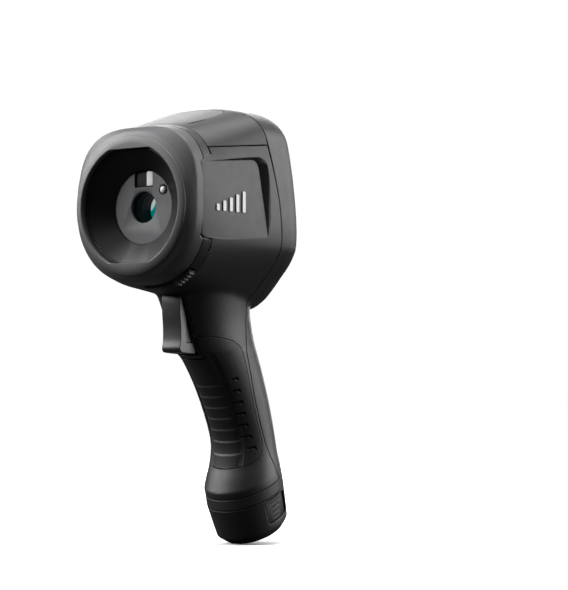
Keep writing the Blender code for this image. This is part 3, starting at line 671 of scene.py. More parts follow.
def makeFront():
    look = frontLook
    bore, flare = look["boreRadius"], look["lipFlare"]
    hole = turned("bore", [(bore + flare, -3), (bore + flare, 0.05), (bore + 0.5, 0.35), (bore + 0.12, 0.9),
                           (bore, 1.8), (bore, 26)], steps=192, flat=look["boreFlat"])
    bezel = portion("frontBezel", blockZone("bezelZone", (-60, -2, 130), (60, look["bumperEnd"], 250)),
                    hole, *tongueZones("tongueBezel", 0.45), shell=False)
    sink(bezel, creaseDepth)
    finishPiece(bezel, "frontBumper", "housing", "bumper_rubber", "bumperRubber", "front_bezel")
    lever = leverLook
    slot = sector(28, 56, lever["angle"] - lever["travel"] - 9, lever["angle"] + 9)
    slot = prism("leverSlot", slot, look["collarStart"] - 0.5, look["collarEnd"] - 0.6, frontPoint)
    band = blockZone("collarZone", (-60, look["collarStart"], 130), (60, look["collarEnd"], 250))
    collar = portion("frontCollar", band,
                     turned("wideBore", [(34.4, -4), (34.4, 26)]), slot,
                     *tongueZones("tongueCollar", 0.45), shell=False)
    finishPiece(collar, "frontCollar", "housing", "housing_plastic", "housingPlastic", "front_collar")
    funnel = turned(
        "funnel",
        [(33.3, 3.6), (33.25, 3.0), (33.0, 2.75), (32.6, 2.75), (32.35, 3.0), (32.1, 3.8), (20.3, 12.3),
         (21.6, 12.35), (33.3, 5.0)],
        closed=True, steps=192, flat=look["funnelFlat"],
    )
    finishPiece(funnel, "lensFunnel", "housing", "gloss_black", "glossBlack", "lens_funnel", angle=28)


plateLook = {
    "radius": 21.4, "front": 13.15, "back": 14.5, "lensHole": 8.6, "notch": (6.6, 4.6), "notchZ": 15.7,
    "lamp": (13.7, 9.1), "lampHole": 2.95, "ringRadius": 2.6, "domeRadius": 1.85, "domeRise": 1.15,
}


def makePlate():
    look = plateLook
    radius, front, hole, lamp = look["radius"], look["front"], look["lensHole"], look["lamp"]
    face = [(radius - 0.1, front - 0.1), (radius, front), (radius, look["back"])]
    face = turned("facePlate", face, steps=128)
    notch = prism("notch", roundedBox(*look["notch"], 0.5, (0, look["notchZ"]), 4), 10, 17, frontPoint)
    lensHole = turned("lensHole", [(hole + 0.4, 12.0), (hole + 0.4, front - 0.1), (hole + 0.15, front + 0.05),
                                   (hole, front + 0.35), (hole, 17)])
    lampHole = turned("lampHole", [(look["lampHole"], 10), (look["lampHole"], 17)], lamp, steps=48)
    carve(face, notch, lensHole, lampHole)
    finishPiece(face, "facePlate", "housing", "satin_plate", "satinPlate", "face_plate")
    window = plate("cameraWindow", roundedBox(6.2, 4.0, 0.8, (0, 15.6), 4), 14.5, 14.2, frontPoint, 0.08)
    finishPiece(window, "cameraWindow", "housing", "gloss_black", "insidePlastic", "camera_window")
    guide = roundCorners([(1.9, 11.7), (6.3, 11.7), (6.3, 20.0), (2.9, 20.0), (1.9, 19.0)], 0.4, 4)
    insert = plate("cameraGuide", guide, 14.3, 13.2, frontPoint, 0.25)
    finishPiece(insert, "cameraSideWall", "housing", "gloss_black", "paleInsert")
    block = plate("visualCamera", roundedBox(6.2, 3.6, 0.8, (0, 16.1), 4), 20.2, 15.0, frontPoint, 0.3)
    finishPiece(block, "visualCamera", "housing", "housing_plastic", "insidePlastic", "visual_camera")
    outer, dome = look["ringRadius"], look["domeRadius"]
    ring = [(outer, 12.9), (outer, 15.2), (1.9, 15.2), (1.9, 13.2), (2.05, 12.85), (2.4, 12.72)]
    ring = turned("lampRing", ring, lamp, closed=True, steps=56)
    finishPiece(ring, "lampRing", "housing", "gloss_black", "glossBlack", "lamp_ring")
    crown = [(dome * math.cos(a), 13.0 - look["domeRise"] * math.sin(a)) for a in np.linspace(1.5, 0, 10)]
    lens = turned("lampLens", crown + [(1.6, 13.6), (1.6, 17), (0.6, 17)], lamp, steps=48)
    finishPiece(lens, "lampLens", "housing", "lamp_dome", "lampDome", "lamp_lens")


opticsLook = {
    "barrelOuter": 12, "barrelInner": 8.9, "barrelBack": 34, "seat": 29.9, "steps": 5, "stepPitch": 2.1,
    "lensRadius": 8.6, "lensFront": 24.8, "lensBack": 29.6, "crown": 16.0, "crownSweep": 0.66,
    "detector": 13, "detectorFront": 34.3, "detectorBack": 41, "post": 10,
}


def makeOptics():
    look = opticsLook
    outer, inner, back, seat = look["barrelOuter"], look["barrelInner"], look["barrelBack"], look["seat"]
    threads = []
    for i in range(look["steps"]):  # shallow light-trap steps inside the barrel
        radius, y = inner - 0.28 * (i % 2), 29.0 - look["stepPitch"] * i
        threads += [(radius, y), (radius, y - 1.1)]
    wall = [(outer, 16.8), (outer, back), (7.6, back), (7.6, seat), (inner, seat)]
    barrel = turned("lensBarrel", wall + threads + [(inner, 18), (9.5, 16.7), (11.7, 16.6)], closed=True)
    finishPiece(barrel, "lensBarrel", "housing", "gloss_black", "insidePlastic", "lens_barrel", angle=25)
    radius, back = look["lensRadius"], look["lensBack"]
    front = []
    for a in np.linspace(0.03, math.pi / 2, 16):
        sag = look["crown"] * (1 - math.cos(a * look["crownSweep"]))
        front.append((radius * math.sin(a), look["lensFront"] + sag))
    lens = turned("lens", front + [(radius, back), (4, back)], steps=96)
    finishPiece(lens, "infraredLens", "housing", "infrared_glass", "infraredGlass", "ir_lens")
    case = roundedBox(look["detector"], look["detector"], 0.8)
    sensor = plate("detector", case, look["detectorFront"], look["detectorBack"], frontPoint, 0.4)
    for x in (-look["post"], look["post"]):
        for z in (-look["post"], look["post"]):
            joined(sensor, turned("post", [(1.2, 40.5), (1.2, 42.2), (0.8, 42.5)], (x, z), steps=20))
    finishPiece(sensor, "detectorModule", "housing", "sensor_metal", "sensorMetal", "detector_module")


leverLook = {
    "angle": -57, "half": 7.5, "travel": 27, "low": 16.2, "high": 18.3, "ribs": 5, "tip": 48.9,
    "tabLow": 14.7, "tabHigh": 18.9, "bladePin": (3.8, -14.5), "blade": (-11.2, -16.0), "bladeRadius": 10.2,
}


def makeCover():
    look = leverLook
    ring = turned(
        "leverRing", [(30.6, look["low"]), (33.8, look["low"]), (33.8, look["high"]), (30.6, look["high"])],
        closed=True, steps=128,
    )
    start, end = look["angle"] - look["half"], look["angle"] + look["half"]
    stem = (32, look["low"] + 0.2, look["high"] - 0.2)
    for inner, low, high in (stem, (38, look["tabLow"], look["tabHigh"])):
        tab = sector(inner, look["tip"] - 0.9, start, end)
        combine(ring, prism("leverTab", tab, low, high, frontPoint), "UNION")
    width = 2 * look["half"] / look["ribs"]
    for i in range(look["ribs"]):
        start = look["angle"] - look["half"] + width * (i + 0.2)
        rib = plate("rib", sector(41.5, look["tip"], start, start + width * 0.5, 3), look["tabLow"] + 0.15,
                    look["tabHigh"] - 0.15, frontPoint, 0.15, 2)
        joined(ring, rib)
    finishPiece(ring, "lensCoverLever", "lens_lever", "gloss_black", "triggerPlastic", "lens_cap_lever")
    radius = look["bladeRadius"]
    rim = oval(radius, radius, 2, 72, look["blade"]) + oval(3, 3, 2, 32, look["bladePin"])
    outline = [rim[i] for i in geometry.convex_hull_2d(rim)]
    blade = plate("blade", outline, 15.0, 15.8, frontPoint, 0.12, 2)
    carve(blade, turned("bladeHole", [(1.55, 14), (1.55, 17)], look["bladePin"], steps=32))
    finishPiece(blade, "shutterBlade", "shutter", "gloss_black", "glossBlack", "shutter_blade")


# Housing, top cover and rear cover

shellLook = {
    "topLine": [(20.3, 220.9), (62.9, 225.2)],
    "gripEdge": [(30, 120), (60, 118.5), (72.4, 116.4), (79.0, 112.3), (82.5, 104), (85.2, 96), (91.5, 78),
                 (98.3, 60.5), (98.3, 52.6), (93.2, 47.4), (86.5, 43.9), (62, 33)],
    "gripCorners": [0, 3, 8, 8, 8, 8, 8, 6, 5, 5, 4, 0],
    "triggerWell": [(30, 150), (59.9, 150), (59.9, 107.9), (55.4, 106.1), (49.4, 106.1), (46.3, 111),
                    (42, 122),
                    (36, 143)],
    "flap": (24.0, 16.0, 5.8, 41.5), "upperSeam": 30.1, "lowerSeam": 23.5,
}
seamPath = [(y, z) for z, y in bodyForm["seam"]]


def wallX(y):
    # the flat side of the head, which widens rearwards
    return 43.0 + (y - 12.0) * 0.094


def sideRecess(sign, floor=2.1, out=0.5):
    base = roundCorners([(7, 171.9), (67.0, 170.9), (57.4, 216.8), (7, 211.9)], [0.5, 6, 6, 0.5], 8)
    rim = roundCorners([(7, 168.8), (72.2, 166.7), (62.4, 219.0), (7, 214.3)], [0.5, 8, 8, 0.5], 8)
    rings = []
    for share, lift in ((0.0, 0.0), (0.06, 0.16), (0.94, 0.86), (1.0, 1.0)):
        ring = []
        for (y0, z0), (y1, z1) in zip(base, rim):
            y, z = y0 + (y1 - y0) * share, z0 + (z1 - z0) * share
            ring.append(bodyPoint(sign * (wallX(y) - floor + (floor + out) * lift), y, z))
        rings.append(ring)
    return skin(f"sideRecess{sign}", rings)


def makeHousing():
    look = shellLook
    half = seamGap / 2
    path = [(y - half, z) for y, z in seamPath]
    end = frontLook["collarEnd"] + 0.5
    region = [(frontLook["tongueStart"], 216.7), (end, 216.7), (end, look["topLine"][0][1] - half),
              (look["topLine"][1][0], look["topLine"][1][1] - half)] + path[2:]
    region += [(120, 10), (end, 10), (end, 171.1), (frontLook["tongueStart"], 171.1)]
    nose = blockZone("nose", (-40.7, 0, 164), (40.7, end + 0.5, 224))
    below = blockZone("below", (-60, -60, -40), (60, 60, look["upperSeam"] + 0.05), footPoint)
    well = prism("well", grow(look["triggerWell"], 0.3), -8.3, 8.3, sidePoint)
    edge = roundCorners(look["gripEdge"], look["gripCorners"])
    bed = acrossBody("gripBed", grow(edge, 0.3), 60)
    combine(bed, handleForm("bedInner", 1.9), "DIFFERENCE")
    housing = portion("mainHousing", acrossBody("housingZone", region), nose, below,
                      sideRecess(-1), sideRecess(1), well, bed)
    finishPiece(housing, "mainHousing", "housing", "housing_plastic", "housingPlastic", "main_housing")
    return edge


gripLook = {
    "ribFirst": 51.6, "ribPitch": 7.15, "ribCount": 7, "ribDepth": 0.45, "valleyDepth": 1.0, "crease": 12.9,
    "hookFirst": 53.8, "hookPitch": 7.19, "hookCount": 7, "hookReach": 3.9, "hookWidth": 0.95,
    "hookDrop": 2.3,
}


def gripDepth(co):
    # finger ribs across the front, and a valley between them and each side pad
    look = gripLook
    across = np.abs(co[:, 0])
    y, z = co[:, 1] + midY - footMiddle[0], co[:, 2] - footMiddle[1]
    s, c = math.sin(footTilt), math.cos(footTilt)
    v, u = y * c + z * s, -y * s + z * c
    inward = look["crease"] - 0.03 * np.clip(97 - u, 0, 60) - across
    forward = ease((9 - v) / 4)
    valley = ease(inward / 0.7) * (1 - ease((inward - 0.9) / 3.6)) * forward * ease((119 - u) / 10)
    phase = (u - look["ribFirst"]) / look["ribPitch"]
    inside = ease((phase + 1) / 0.2) * ease((look["ribCount"] - phase) / 1.0)
    share = phase - np.floor(phase)
    proud = np.where(share < 0.14, 1 - share / 0.14, (share - 0.14) / 0.86)
    ribs = (1 - proud) * inside * ease((inward - 0.8) / 2.0) * forward
    return look["valleyDepth"] * valley * (0.3 + 0.7 * ease((u - 54) / 20)) + look["ribDepth"] * ribs


def makeGrip(edge):
    look = gripLook
    grip = portion("rubberGrip", acrossBody("gripZone", edge, 60), shell=False)
    combine(grip, handleForm("gripBack", 1.6), "DIFFERENCE")
    combine(grip, prism("gripWell", grow(shellLook["triggerWell"], 0.6), -8.6, 8.6, sidePoint), "DIFFERENCE")
    sink(grip, gripDepth)
    for k in range(look["hookCount"]):
        u, w, end = look["hookFirst"] + look["hookPitch"] * k, look["hookWidth"], 1.5
        back, drop = end - look["hookReach"], look["hookDrop"]
        hook = roundCorners(
            [(back, u + 0.5), (end, u + 0.2), (end + 0.3, u - drop), (end + 0.3 - w, u - drop - 0.1),
             (end - 1.1, u - w + 0.1), (back, u + 0.5 - w)], 0.35, 3,
        )
        for sign in (-1, 1):
            combine(grip, prism("hook", hook, sign * 10, sign * 30, footSide), "DIFFERENCE")
    finishPiece(grip, "rubberGrip", "housing", "grip_rubber", "gripRubber", "rubber_grip")


def makeTop():
    half = seamGap / 2
    start = frontLook["collarEnd"] + 0.5
    line = [(start, shellLook["topLine"][0][1] + half), (62.8, shellLook["topLine"][1][1] + half)]
    zone = acrossBody("topZone", line + [(62.5, 227.8), (59.75, 248.5), (59.75, 260), (start, 260)])
    top = portion("topCover", zone)
    halfX, halfY, corner, flapY = shellLook["flap"]

    def slope(drop):
        # flat on the top cover's slant, so that the flap keeps an even thickness
        return lambda x, y, z: bodyPoint(x, y, 233.9 - drop + (y - 20) * 0.27 + z)

    tub = prism("tub", roundedBox(halfX + 0.5, halfY + 0.35, corner, (0, flapY)), 227.5, 243, bodyPoint)
    combine(tub, form, "INTERSECT", spare=True)
    combine(top, tub, "UNION")
    bay = prism("bay", roundedBox(22, 14, 5, (0, flapY)), 229.5, 262, bodyPoint)
    hole = roundedBox(halfX + 0.45, halfY + 0.45, corner + 0.4, (0, flapY))
    opening = prism("opening", hole, 0, 30, slope(0.3))
    carve(top, bay, opening)
    finishPiece(top, "topCover", "housing", "housing_plastic", "housingPlastic", "top_cover")
    lid = prism("flapZone", roundedBox(halfX, halfY, corner, (0, flapY)), 0, 30, slope(0.0))
    flap = portion("portFlap", lid, shell=False)
    finishPiece(flap, "portFlap", "port_flap", "bumper_rubber", "bumperRubber", "port_cover")
    socket = plate("socket", roundedBox(4.6, 1.9, 1.4, (0, flapY)), 229.8, 232.4, bodyPoint, 0.15, 2)
    carve(socket, prism("mouth", roundedBox(3.9, 1.2, 1.0, (0, flapY)), 230.6, 236, bodyPoint))
    joined(socket, plate("tongue", roundedBox(3.0, 0.35, 0.1, (0, flapY)), 230.4, 232.0, bodyPoint, 0.05, 1))
    finishPiece(socket, "chargingSocket", "housing", "steel", "steel", "usb_socket")


windowHalf = curveThrough(
    [(0, 37.6), (18, 37.3), (30, 36.2), (38.5, 32.6), (42.2, 26), (42.8, 16), (42.8, -14), (41.6, -26),
     (36.5, -36), (26, -47.5), (16, -56), (8, -59.8), (0, -60.9)], 5,
)


def windowOutline(change, steps=80):
    return whole(spread(inset(windowHalf, change), steps))


def makeRear():
    half = seamGap / 2
    path = [(y + half, z) for y, z in seamPath]
    zone = acrossBody("rearZone", [(160, 260), (path[0][0], 260)] + path + [(path[-1][0], -20), (160, -20)])
    below = blockZone("belowRear", (-60, -60, -40), (60, 60, shellLook["upperSeam"] + 0.05), footPoint)
    low, high = windowOutline(-0.35), windowOutline(-1.6)
    rings = [[displayPoint(x, w, -7.2) for x, w in low], [displayPoint(x, w, -4.9) for x, w in low]]
    for share in (0.55, 0.8, 1.0):
        ring = []
        for (x0, w0), (x1, w1) in zip(low, high):
            flare = share**2
            x = x0 + (x1 * 1.02 - x0) * flare
            w = w0 + (w1 + 3.4 * (w1 > 20) - w0) * flare
            ring.append(displayPoint(x, w, -4.9 + 8.9 * share))
        rings.append(ring)
    recess = skin("recess", rings)
    aperture = prism("aperture", windowOutline(2.6), -16, -4, displayPoint)
    cover = portion("rearCover", zone, below, recess, aperture)
    finishPiece(cover, "rearCover", "housing", "housing_plastic", "housingPlastic", "rear_cover")
    gasket = prism("gasket", windowOutline(0.2), -7.0, -6.7, displayPoint)
    carve(gasket, prism("gasketHole", windowOutline(2.2), -9, -5, displayPoint))
    finishPiece(gasket, "displayGasket", "housing", "grip_rubber", "gripRubber", "display_gasket")


# Display: bonded glass with the picture under it, badge and keypad

screenLook = {
    "halfX": 35.0, "low": -25.6, "high": 25.4, "cell": 0.27, "glassTop": -4.9,
    "bar": (31.2, 32.9, -19.5, 18.5),
    "digits": [("165", -29.0, 20.6, 3.7), ("180", 28.2, 20.8, 2.9), ("72.5", 28.0, -23.8, 2.9)],
    "palette": [(0.0, (0.0, 0.0, 0.04)), (0.2, (0.0, 0.0, 0.14)), (0.34, (0.02, 0.0, 0.3)),
                (0.46, (0.0, 0.55, 0.62)), (0.58, (0.06, 0.62, 0.08)), (0.72, (0.95, 0.8, 0.02)),
                (0.84, (0.95, 0.25, 0.02)), (0.93, (0.85, 0.02, 0.05)), (1.0, (1.0, 0.75, 0.7))],
}


def infraredGlass():
    material = bpy.data.materials.new("infraredGlass")
    material.use_nodes = True
    tree = material.node_tree
    shader = tree.nodes["Principled BSDF"]
    spot = tree.nodes.new("ShaderNodeTexCoord").outputs["Object"]
    cloud = noiseNode(tree, 60, 2, spot)
    # a painted white glint, a painted reflection of a softbox, sits in the teal coating, up and to one side
    away = tree.nodes.new("ShaderNodeVectorMath")
    away.operation = "DISTANCE"
    tree.links.new(spot, away.inputs[0])
    away.inputs[1].default_value = bodyPoint(-5.4, 27.0, axisZ + 3.4)
    paintedGlint = rangeNode(tree, away.outputs["Value"], 4.6 * mm, 3.4 * mm).outputs[0]
    tint = mixNode(tree, paintedGlint, (0.0, 0.27, 0.28), (0.80, 0.88, 0.88))
    share = rangeNode(tree, cloud.outputs[0], 0.3, 0.7, 0.0, 0.2)
    tint = mixNode(tree, share.outputs[0], tint, (0.02, 0.25, 0.3))
    tree.links.new(tint, shader.inputs["Base Color"])
    # the tint, painted glint included, also feeds emission, so the lens glows with painted light although it
    # is no lamp
    tree.links.new(tint, shader.inputs["Emission Color"])
    shader.inputs["Emission Strength"].default_value = 0.6
    roughness = rangeNode(tree, cloud.outputs[0], 0.3, 0.7, 0.06, 0.1)
    tree.links.new(roughness.outputs[0], shader.inputs["Roughness"])
    shader.inputs["Metallic"].default_value = 0.3
    shader.inputs["Coat Weight"].default_value = 0.6
    return material


def pictureMaterial():
    # the drawn picture glows faintly through a glossy pane
    material = bpy.data.materials.new("screenPicture")
    material.use_nodes = True
    tree = material.node_tree
    shader = tree.nodes["Principled BSDF"]
    drawn = tree.nodes.new("ShaderNodeVertexColor")
    drawn.layer_name = "picture"
    spot = tree.nodes.new("ShaderNodeTexCoord").outputs["Object"]
    smear = rangeNode(tree, noiseNode(tree, 120, 3, spot).outputs[0], 0.3, 0.7, 0.12, 0.17)
    tree.links.new(drawn.outputs["Color"], shader.inputs["Base Color"])
    tree.links.new(drawn.outputs["Color"], shader.inputs["Emission Color"])
    tree.links.new(smear.outputs[0], shader.inputs["Roughness"])
    shader.inputs["Emission Strength"].default_value = 0.55
    return material


materials["infraredGlass"] = infraredGlass()
materials["screenPicture"] = pictureMaterial()


def lineField(x, w, start, end, width):
    # 1 along a line on the display, falling away on both sides of it
    dx, dw = end[0] - start[0], end[1] - start[1]
    t = np.clip(((x - start[0]) * dx + (w - start[1]) * dw) / (dx * dx + dw * dw), 0, 1)
    return np.exp(-((np.hypot(x - start[0] - t * dx, w - start[1] - t * dw) / width) ** 2))


def softBox(x, w, centre, half, blur, tilt=-0.1):
    # 1 inside a leaning box on the display, with a soft edge
    a, b = x - centre[0] - (w - centre[1]) * tilt, w - centre[1]
    dx, dw = np.abs(a) - half[0], np.abs(b) - half[1]
    outside = np.hypot(np.maximum(dx, 0), np.maximum(dw, 0)) + np.minimum(np.maximum(dx, dw), 0)
    return 1 / (1 + np.exp(outside / blur))


def heatField(x, w):
    # temperature from 0 to 1 over the pane: one hot fuse block, warm neighbours, cool cabinet
    heat = 0.13 + 0.05 * np.exp(-(((x - 12) / 20) ** 2 + ((w - 2) / 22) ** 2))
    heat += 0.2 * softBox(x, w, (-1.5, 0), (7.5, 17), 3.0)
    heat += 0.06 * softBox(x, w, (9, 3), (11, 12), 2.0)
    block = softBox(x, w, (-3.2, 4.0), (4.0, 11.5), 0.5)
    heat += 0.52 * block * (0.8 + 0.25 * softBox(x, w, (-3.0, 1.0), (2.6, 8), 1.6))
    spots = ((-4.2, 9.5, 1.1), (-1.8, 7.2, 0.9), (-4.0, 4.0, 1.3), (-1.6, 1.5, 1.2), (-3.4, -1.8, 1.2))
    for cx, cw, size in spots:
        heat += 0.2 * np.exp(-(((x - cx) ** 2 + (w - cw) ** 2) / size**2)) * block
    for cx, cw in ((-2.8, 10.8), (-3.2, 6.0), (-2.0, 3.6), (-3.6, -4.4)):
        heat -= 0.28 * np.exp(-(((x - cx) / 1.1) ** 2 + ((w - cw) / 0.45) ** 2)) * block
    for strength, width in ((0.55, 0.75), (0.12, 3.0)):
        heat += strength * lineField(x, w, (-2.4, -7.5), (-4.4, -25.6), width)
    for k, (top, bottom) in enumerate((((6, 14), (8, -25)), ((13, 14), (19, -25)), ((18, 12), (30, -25)))):
        heat += (0.17 - 0.03 * k) * lineField(x, w, top, bottom, 0.6)
    for start, bend, end in (((-12, 24), (-8.5, 23), (-6, 16)), ((-5, 24), (-2, 22.5), (1, 15)),
                             ((4, 25), (6.5, 23), (8, 17))):
        heat += 0.2 * lineField(x, w, start, bend, 0.55) + 0.2 * lineField(x, w, bend, end, 0.6)
    for k in range(3):
        cx = 5.2 + 7.5 * k
        for cw in (13.2, 3.0):
            heat += 0.13 * lineField(x, w, (cx - 1.6, cw), (cx + 1.8, cw + 0.4), 0.3)
        heat += 0.07 * softBox(x, w, (cx, 8.2), (2.7, 4.2), 0.35)
    return heat


def etchField(x, w):
    # thin pale edges of the cabinet, drawn over the heat
    lines = [
        (0.5, (-22.5, 24), (-18, -25), 0.2), (0.6, (13.5, 25), (31, -12), 0.2),
        (0.45, (14.8, 25), (33, -14), 0.2), (0.5, (20, 8), (12, -6), 0.2),
        (0.4, (15, 23), (9.5, 14), 0.2), (0.5, (-11.5, 16), (-9.5, -10), 0.16),
        (0.35, (24, -25), (15.5, 0), 0.2), (0.35, (17, -25), (9.5, -4), 0.2),
    ]
    for k in range(3):
        lines += [
            (0.45, (3.2 + 7.5 * k, 15.2), (4.4 + 7.5 * k, -5), 0.16),
            (0.5, (4 + 7.5 * k, 12.8), (8 + 7.5 * k, 13.1), 0.2),
            (0.5, (2 + 7 * k, 1), (8 + 7 * k, 1.6), 0.2),
        ]
    for k in range(9):
        lines += [
            (0.12, (18 + 2.2 * k, 24 - 1.4 * k), (33, 12 - 1.6 * k), 0.18),
            (0.12, (16 + 1.8 * k, 14 - 2.0 * k), (33, 24 - 1.8 * k), 0.18),
        ]
    return np.clip(sum(strength * lineField(x, w, *line) for strength, *line in lines), 0, 1)


def makeScreen():
    look = screenLook
    columns = int(2 * look["halfX"] / look["cell"])
    rows = int((look["high"] - look["low"]) / look["cell"])
    xs = np.linspace(-look["halfX"], look["halfX"], columns + 1)
    ws = np.linspace(look["low"], look["high"], rows + 1)
    x, w = (grid.ravel() for grid in np.meshgrid(xs, ws))
    n = look["glassTop"] + 0.03
    points = [displayPoint(a, b, n) for a, b in zip(-x, w)]
    width = columns + 1
    faces = [(r * width + i + 1, r * width + i, (r + 1) * width + i, (r + 1) * width + i + 1)
             for r in range(rows) for i in range(columns)]
    screen = meshObject("screen", points, faces)
    heat = np.clip(heatField(x, w), 0, 1)
    keys = [k for k, _ in look["palette"]]
    tones = np.array([tone for _, tone in look["palette"]])
    colour = np.stack([np.interp(heat, keys, tones[:, k]) for k in range(3)], axis=1)
    etch = etchField(x, w)[:, None] * (1 - np.clip((heat - 0.4) * 6, 0, 1))[:, None]
    colour = colour * (1 - 0.55 * etch) + np.array([0.4, 0.45, 0.75]) * 0.55 * etch
    left, right, low, high = look["bar"]
    bar = (x > left) & (x < right) & (w > low) & (w < high)
    share = np.clip((w - low) / (high - low), 0, 1)
    ramp = np.stack([np.interp(0.2 + 0.8 * share, keys, tones[:, k]) for k in range(3)], axis=1)
    colour = np.where(bar[:, None], ramp, colour)
    layer = screen.data.color_attributes.new("picture", "FLOAT_COLOR", "POINT")
    opaque = np.concatenate([colour, np.ones((len(colour), 1))], axis=1)
    layer.data.foreach_set("color", opaque.astype(np.float32).ravel())
    normalUp = screen.data.polygons[0].normal.dot(displayPoint(0, 0, 1) - displayPoint(0, 0, 0)) > 0
    if not normalUp:
        screen.data.flip_normals()
    finishPiece(screen, "screenPicture", "housing", "lcd_picture", "screenPicture")
    written = None
    for digits, x, w, size in look["digits"]:
        bpy.ops.object.text_add()
        text = bpy.context.object
        text.data.body, text.data.size = digits, size
        text.data.align_x = "CENTER"
        text.data.extrude = 0.02
        text.data.resolution_u = 3
        pick(text)
        bpy.ops.object.convert(target="MESH")
        text = bpy.context.object
        co = coordinates(text)
        setCoordinates(text, np.array([displayPoint(-(p[0] + x), p[1] + w, n + 0.04 + p[2]) for p in co]))
        written = joined(written, text) if written else text
    outward(written)
    finishPiece(written, "screenDigits", "housing", "lcd_picture", "printedMark")
    module = plate("lcd", roundedBox(36.8, 27, 0.8), -11.6, -6.8, displayPoint, 0.3)
    finishPiece(module, "displayModule", "housing", "lcd_picture", "insidePlastic", "lcd_module")


keyLook = {
    "archive": [(14.1, -31.4), (29.6, -31.4), (29.6, -34.8), (26.2, -38.2), (14.1, -38.2)],
    "cancel": [(-14.1, -31.4), (-29.6, -31.4), (-29.6, -34.8), (-26.2, -38.2), (-14.1, -38.2)],
    "power": (-16.6, -43.2), "middle": (0, -41.3), "base": -9.9, "top": -2.9, "padBase": -8.4, "padTop": -2.4,
    "pad": [(-10.3, -7.8), (-7.8, -10.3), (7.8, -10.3), (10.3, -7.8), (10.3, 7.8), (7.8, 10.3), (-7.8, 10.3),
            (-10.3, 7.8)],
}


def strokes(name, paths, width, base, rise=0.05):
    mark = None
    for path in paths:
        for (x0, w0), (x1, w1) in zip(path, path[1:]):
            length = math.hypot(x1 - x0, w1 - w0)
            a, b = (x1 - x0) / length * width / 2, (w1 - w0) / length * width / 2
            box = [(x0 - a - b, w0 - b + a), (x1 + a - b, w1 + b + a), (x1 + a + b, w1 + b - a),
                   (x0 - a + b, w0 - b - a)]
            bit = prism(name, box, base, base + rise, displayPoint)
            mark = joined(mark, bit) if mark else bit
    return mark


def arcPath(x, w, radius, start, end, steps=14):
    turns = [math.radians(start + (end - start) * i / steps) for i in range(steps + 1)]
    return [(x + radius * math.cos(t), w + radius * math.sin(t)) for t in turns]


def makeKeys():
    look = keyLook
    top = look["top"]
    glass = plate("glass", windowOutline(0.0), -6.4, -4.9, displayPoint, 0.3)
    holes = {
        **{name: grow(roundCorners(look[name], 1.4), 0.45) for name in ("archive", "cancel")},
        "power": oval(2.6, 2.6, 2, 40, look["power"]),
        "pad": grow(roundCorners([(x, w + look["middle"][1]) for x, w in look["pad"]], 1.2), 0.6),
    }
    for name, outline in holes.items():
        carve(glass, prism(f"{name}Hole", outline, -9, -2, displayPoint))
    finishPiece(glass, "displayGlass", "housing", "display_glass", "displayGlass", "display_window")
    for name in ("archive", "cancel"):
        key = plate(name, roundCorners(look[name], 1.3), look["base"], top, displayPoint, 0.55, 4)
        finishPiece(key, f"{name}Key", f"{name}_key", "button_plastic", "buttonPlastic", f"{name}_button")
    power = plate("power", oval(2.1, 2.1, 2, 40, look["power"]), look["base"], top, displayPoint, 0.4, 4)
    finishPiece(power, "powerKey", "power_key", "button_plastic", "buttonPlastic", "power_button")
    centre = roundedBox(4.8, 4.8, 1.2, look["middle"])
    centre = plate("centre", centre, look["base"], top, displayPoint, 0.5, 4)
    finishPiece(centre, "centreKey", "center_key", "button_plastic", "buttonPlastic", "center_button")
    ring = roundCorners([(x, w + look["middle"][1]) for x, w in look["pad"]], 1.1)
    pad = plate("pad", ring, look["padBase"], look["padTop"], displayPoint, 0.0)
    inner = roundedBox(5.7, 5.7, 1.4, look["middle"])
    carve(pad, prism("padHole", inner, -12, 2, displayPoint))
    soften(pad, 0.55, 4, 40)
    finishPiece(pad, "steeringPad", "nav_pad", "button_plastic", "buttonPlastic", "nav_pad")
    rise = top + 0.005
    frameMark = strokes("archiveMark", [
        [(24.6, -33.0), (19.2, -33.0), (19.2, -36.5), (24.6, -36.5), (24.6, -33.0)],
        [(22.7, -33.9), (21.0, -34.75), (22.7, -35.6), (22.7, -33.9)],
    ], 0.35, rise)
    finishPiece(frameMark, "archiveMark", "archive_key", "button_plastic", "printedMark")
    back = strokes("cancelMark", [
        [(-19.6, -32.9), (-18.8, -33.7), (-19.6, -34.5)], [(-18.9, -33.7), (-22.0, -33.7)],
        arcPath(-22.0, -34.9, 1.2, 90, 270),
    ], 0.38, rise)
    finishPiece(back, "cancelMark", "cancel_key", "button_plastic", "printedMark")
    ringMark = strokes("powerMark", [arcPath(*look["power"], 1.0, 0, 360, 18)], 0.42, rise)
    finishPiece(ringMark, "powerMark", "power_key", "button_plastic", "printedMark")
    badge = roundCorners([(-10.5, 37.0), (10.5, 37.0), (7.2, 31.2), (-7.2, 31.2)], [0.2, 0.2, 1.4, 1.4])
    shield = plate("badge", badge, -4.7, -4.0, displayPoint, 0.2)
    finishPiece(shield, "blankBadge", "housing", "satin_plate", "satinPlate", "badge_plate")


# Trigger and its frame

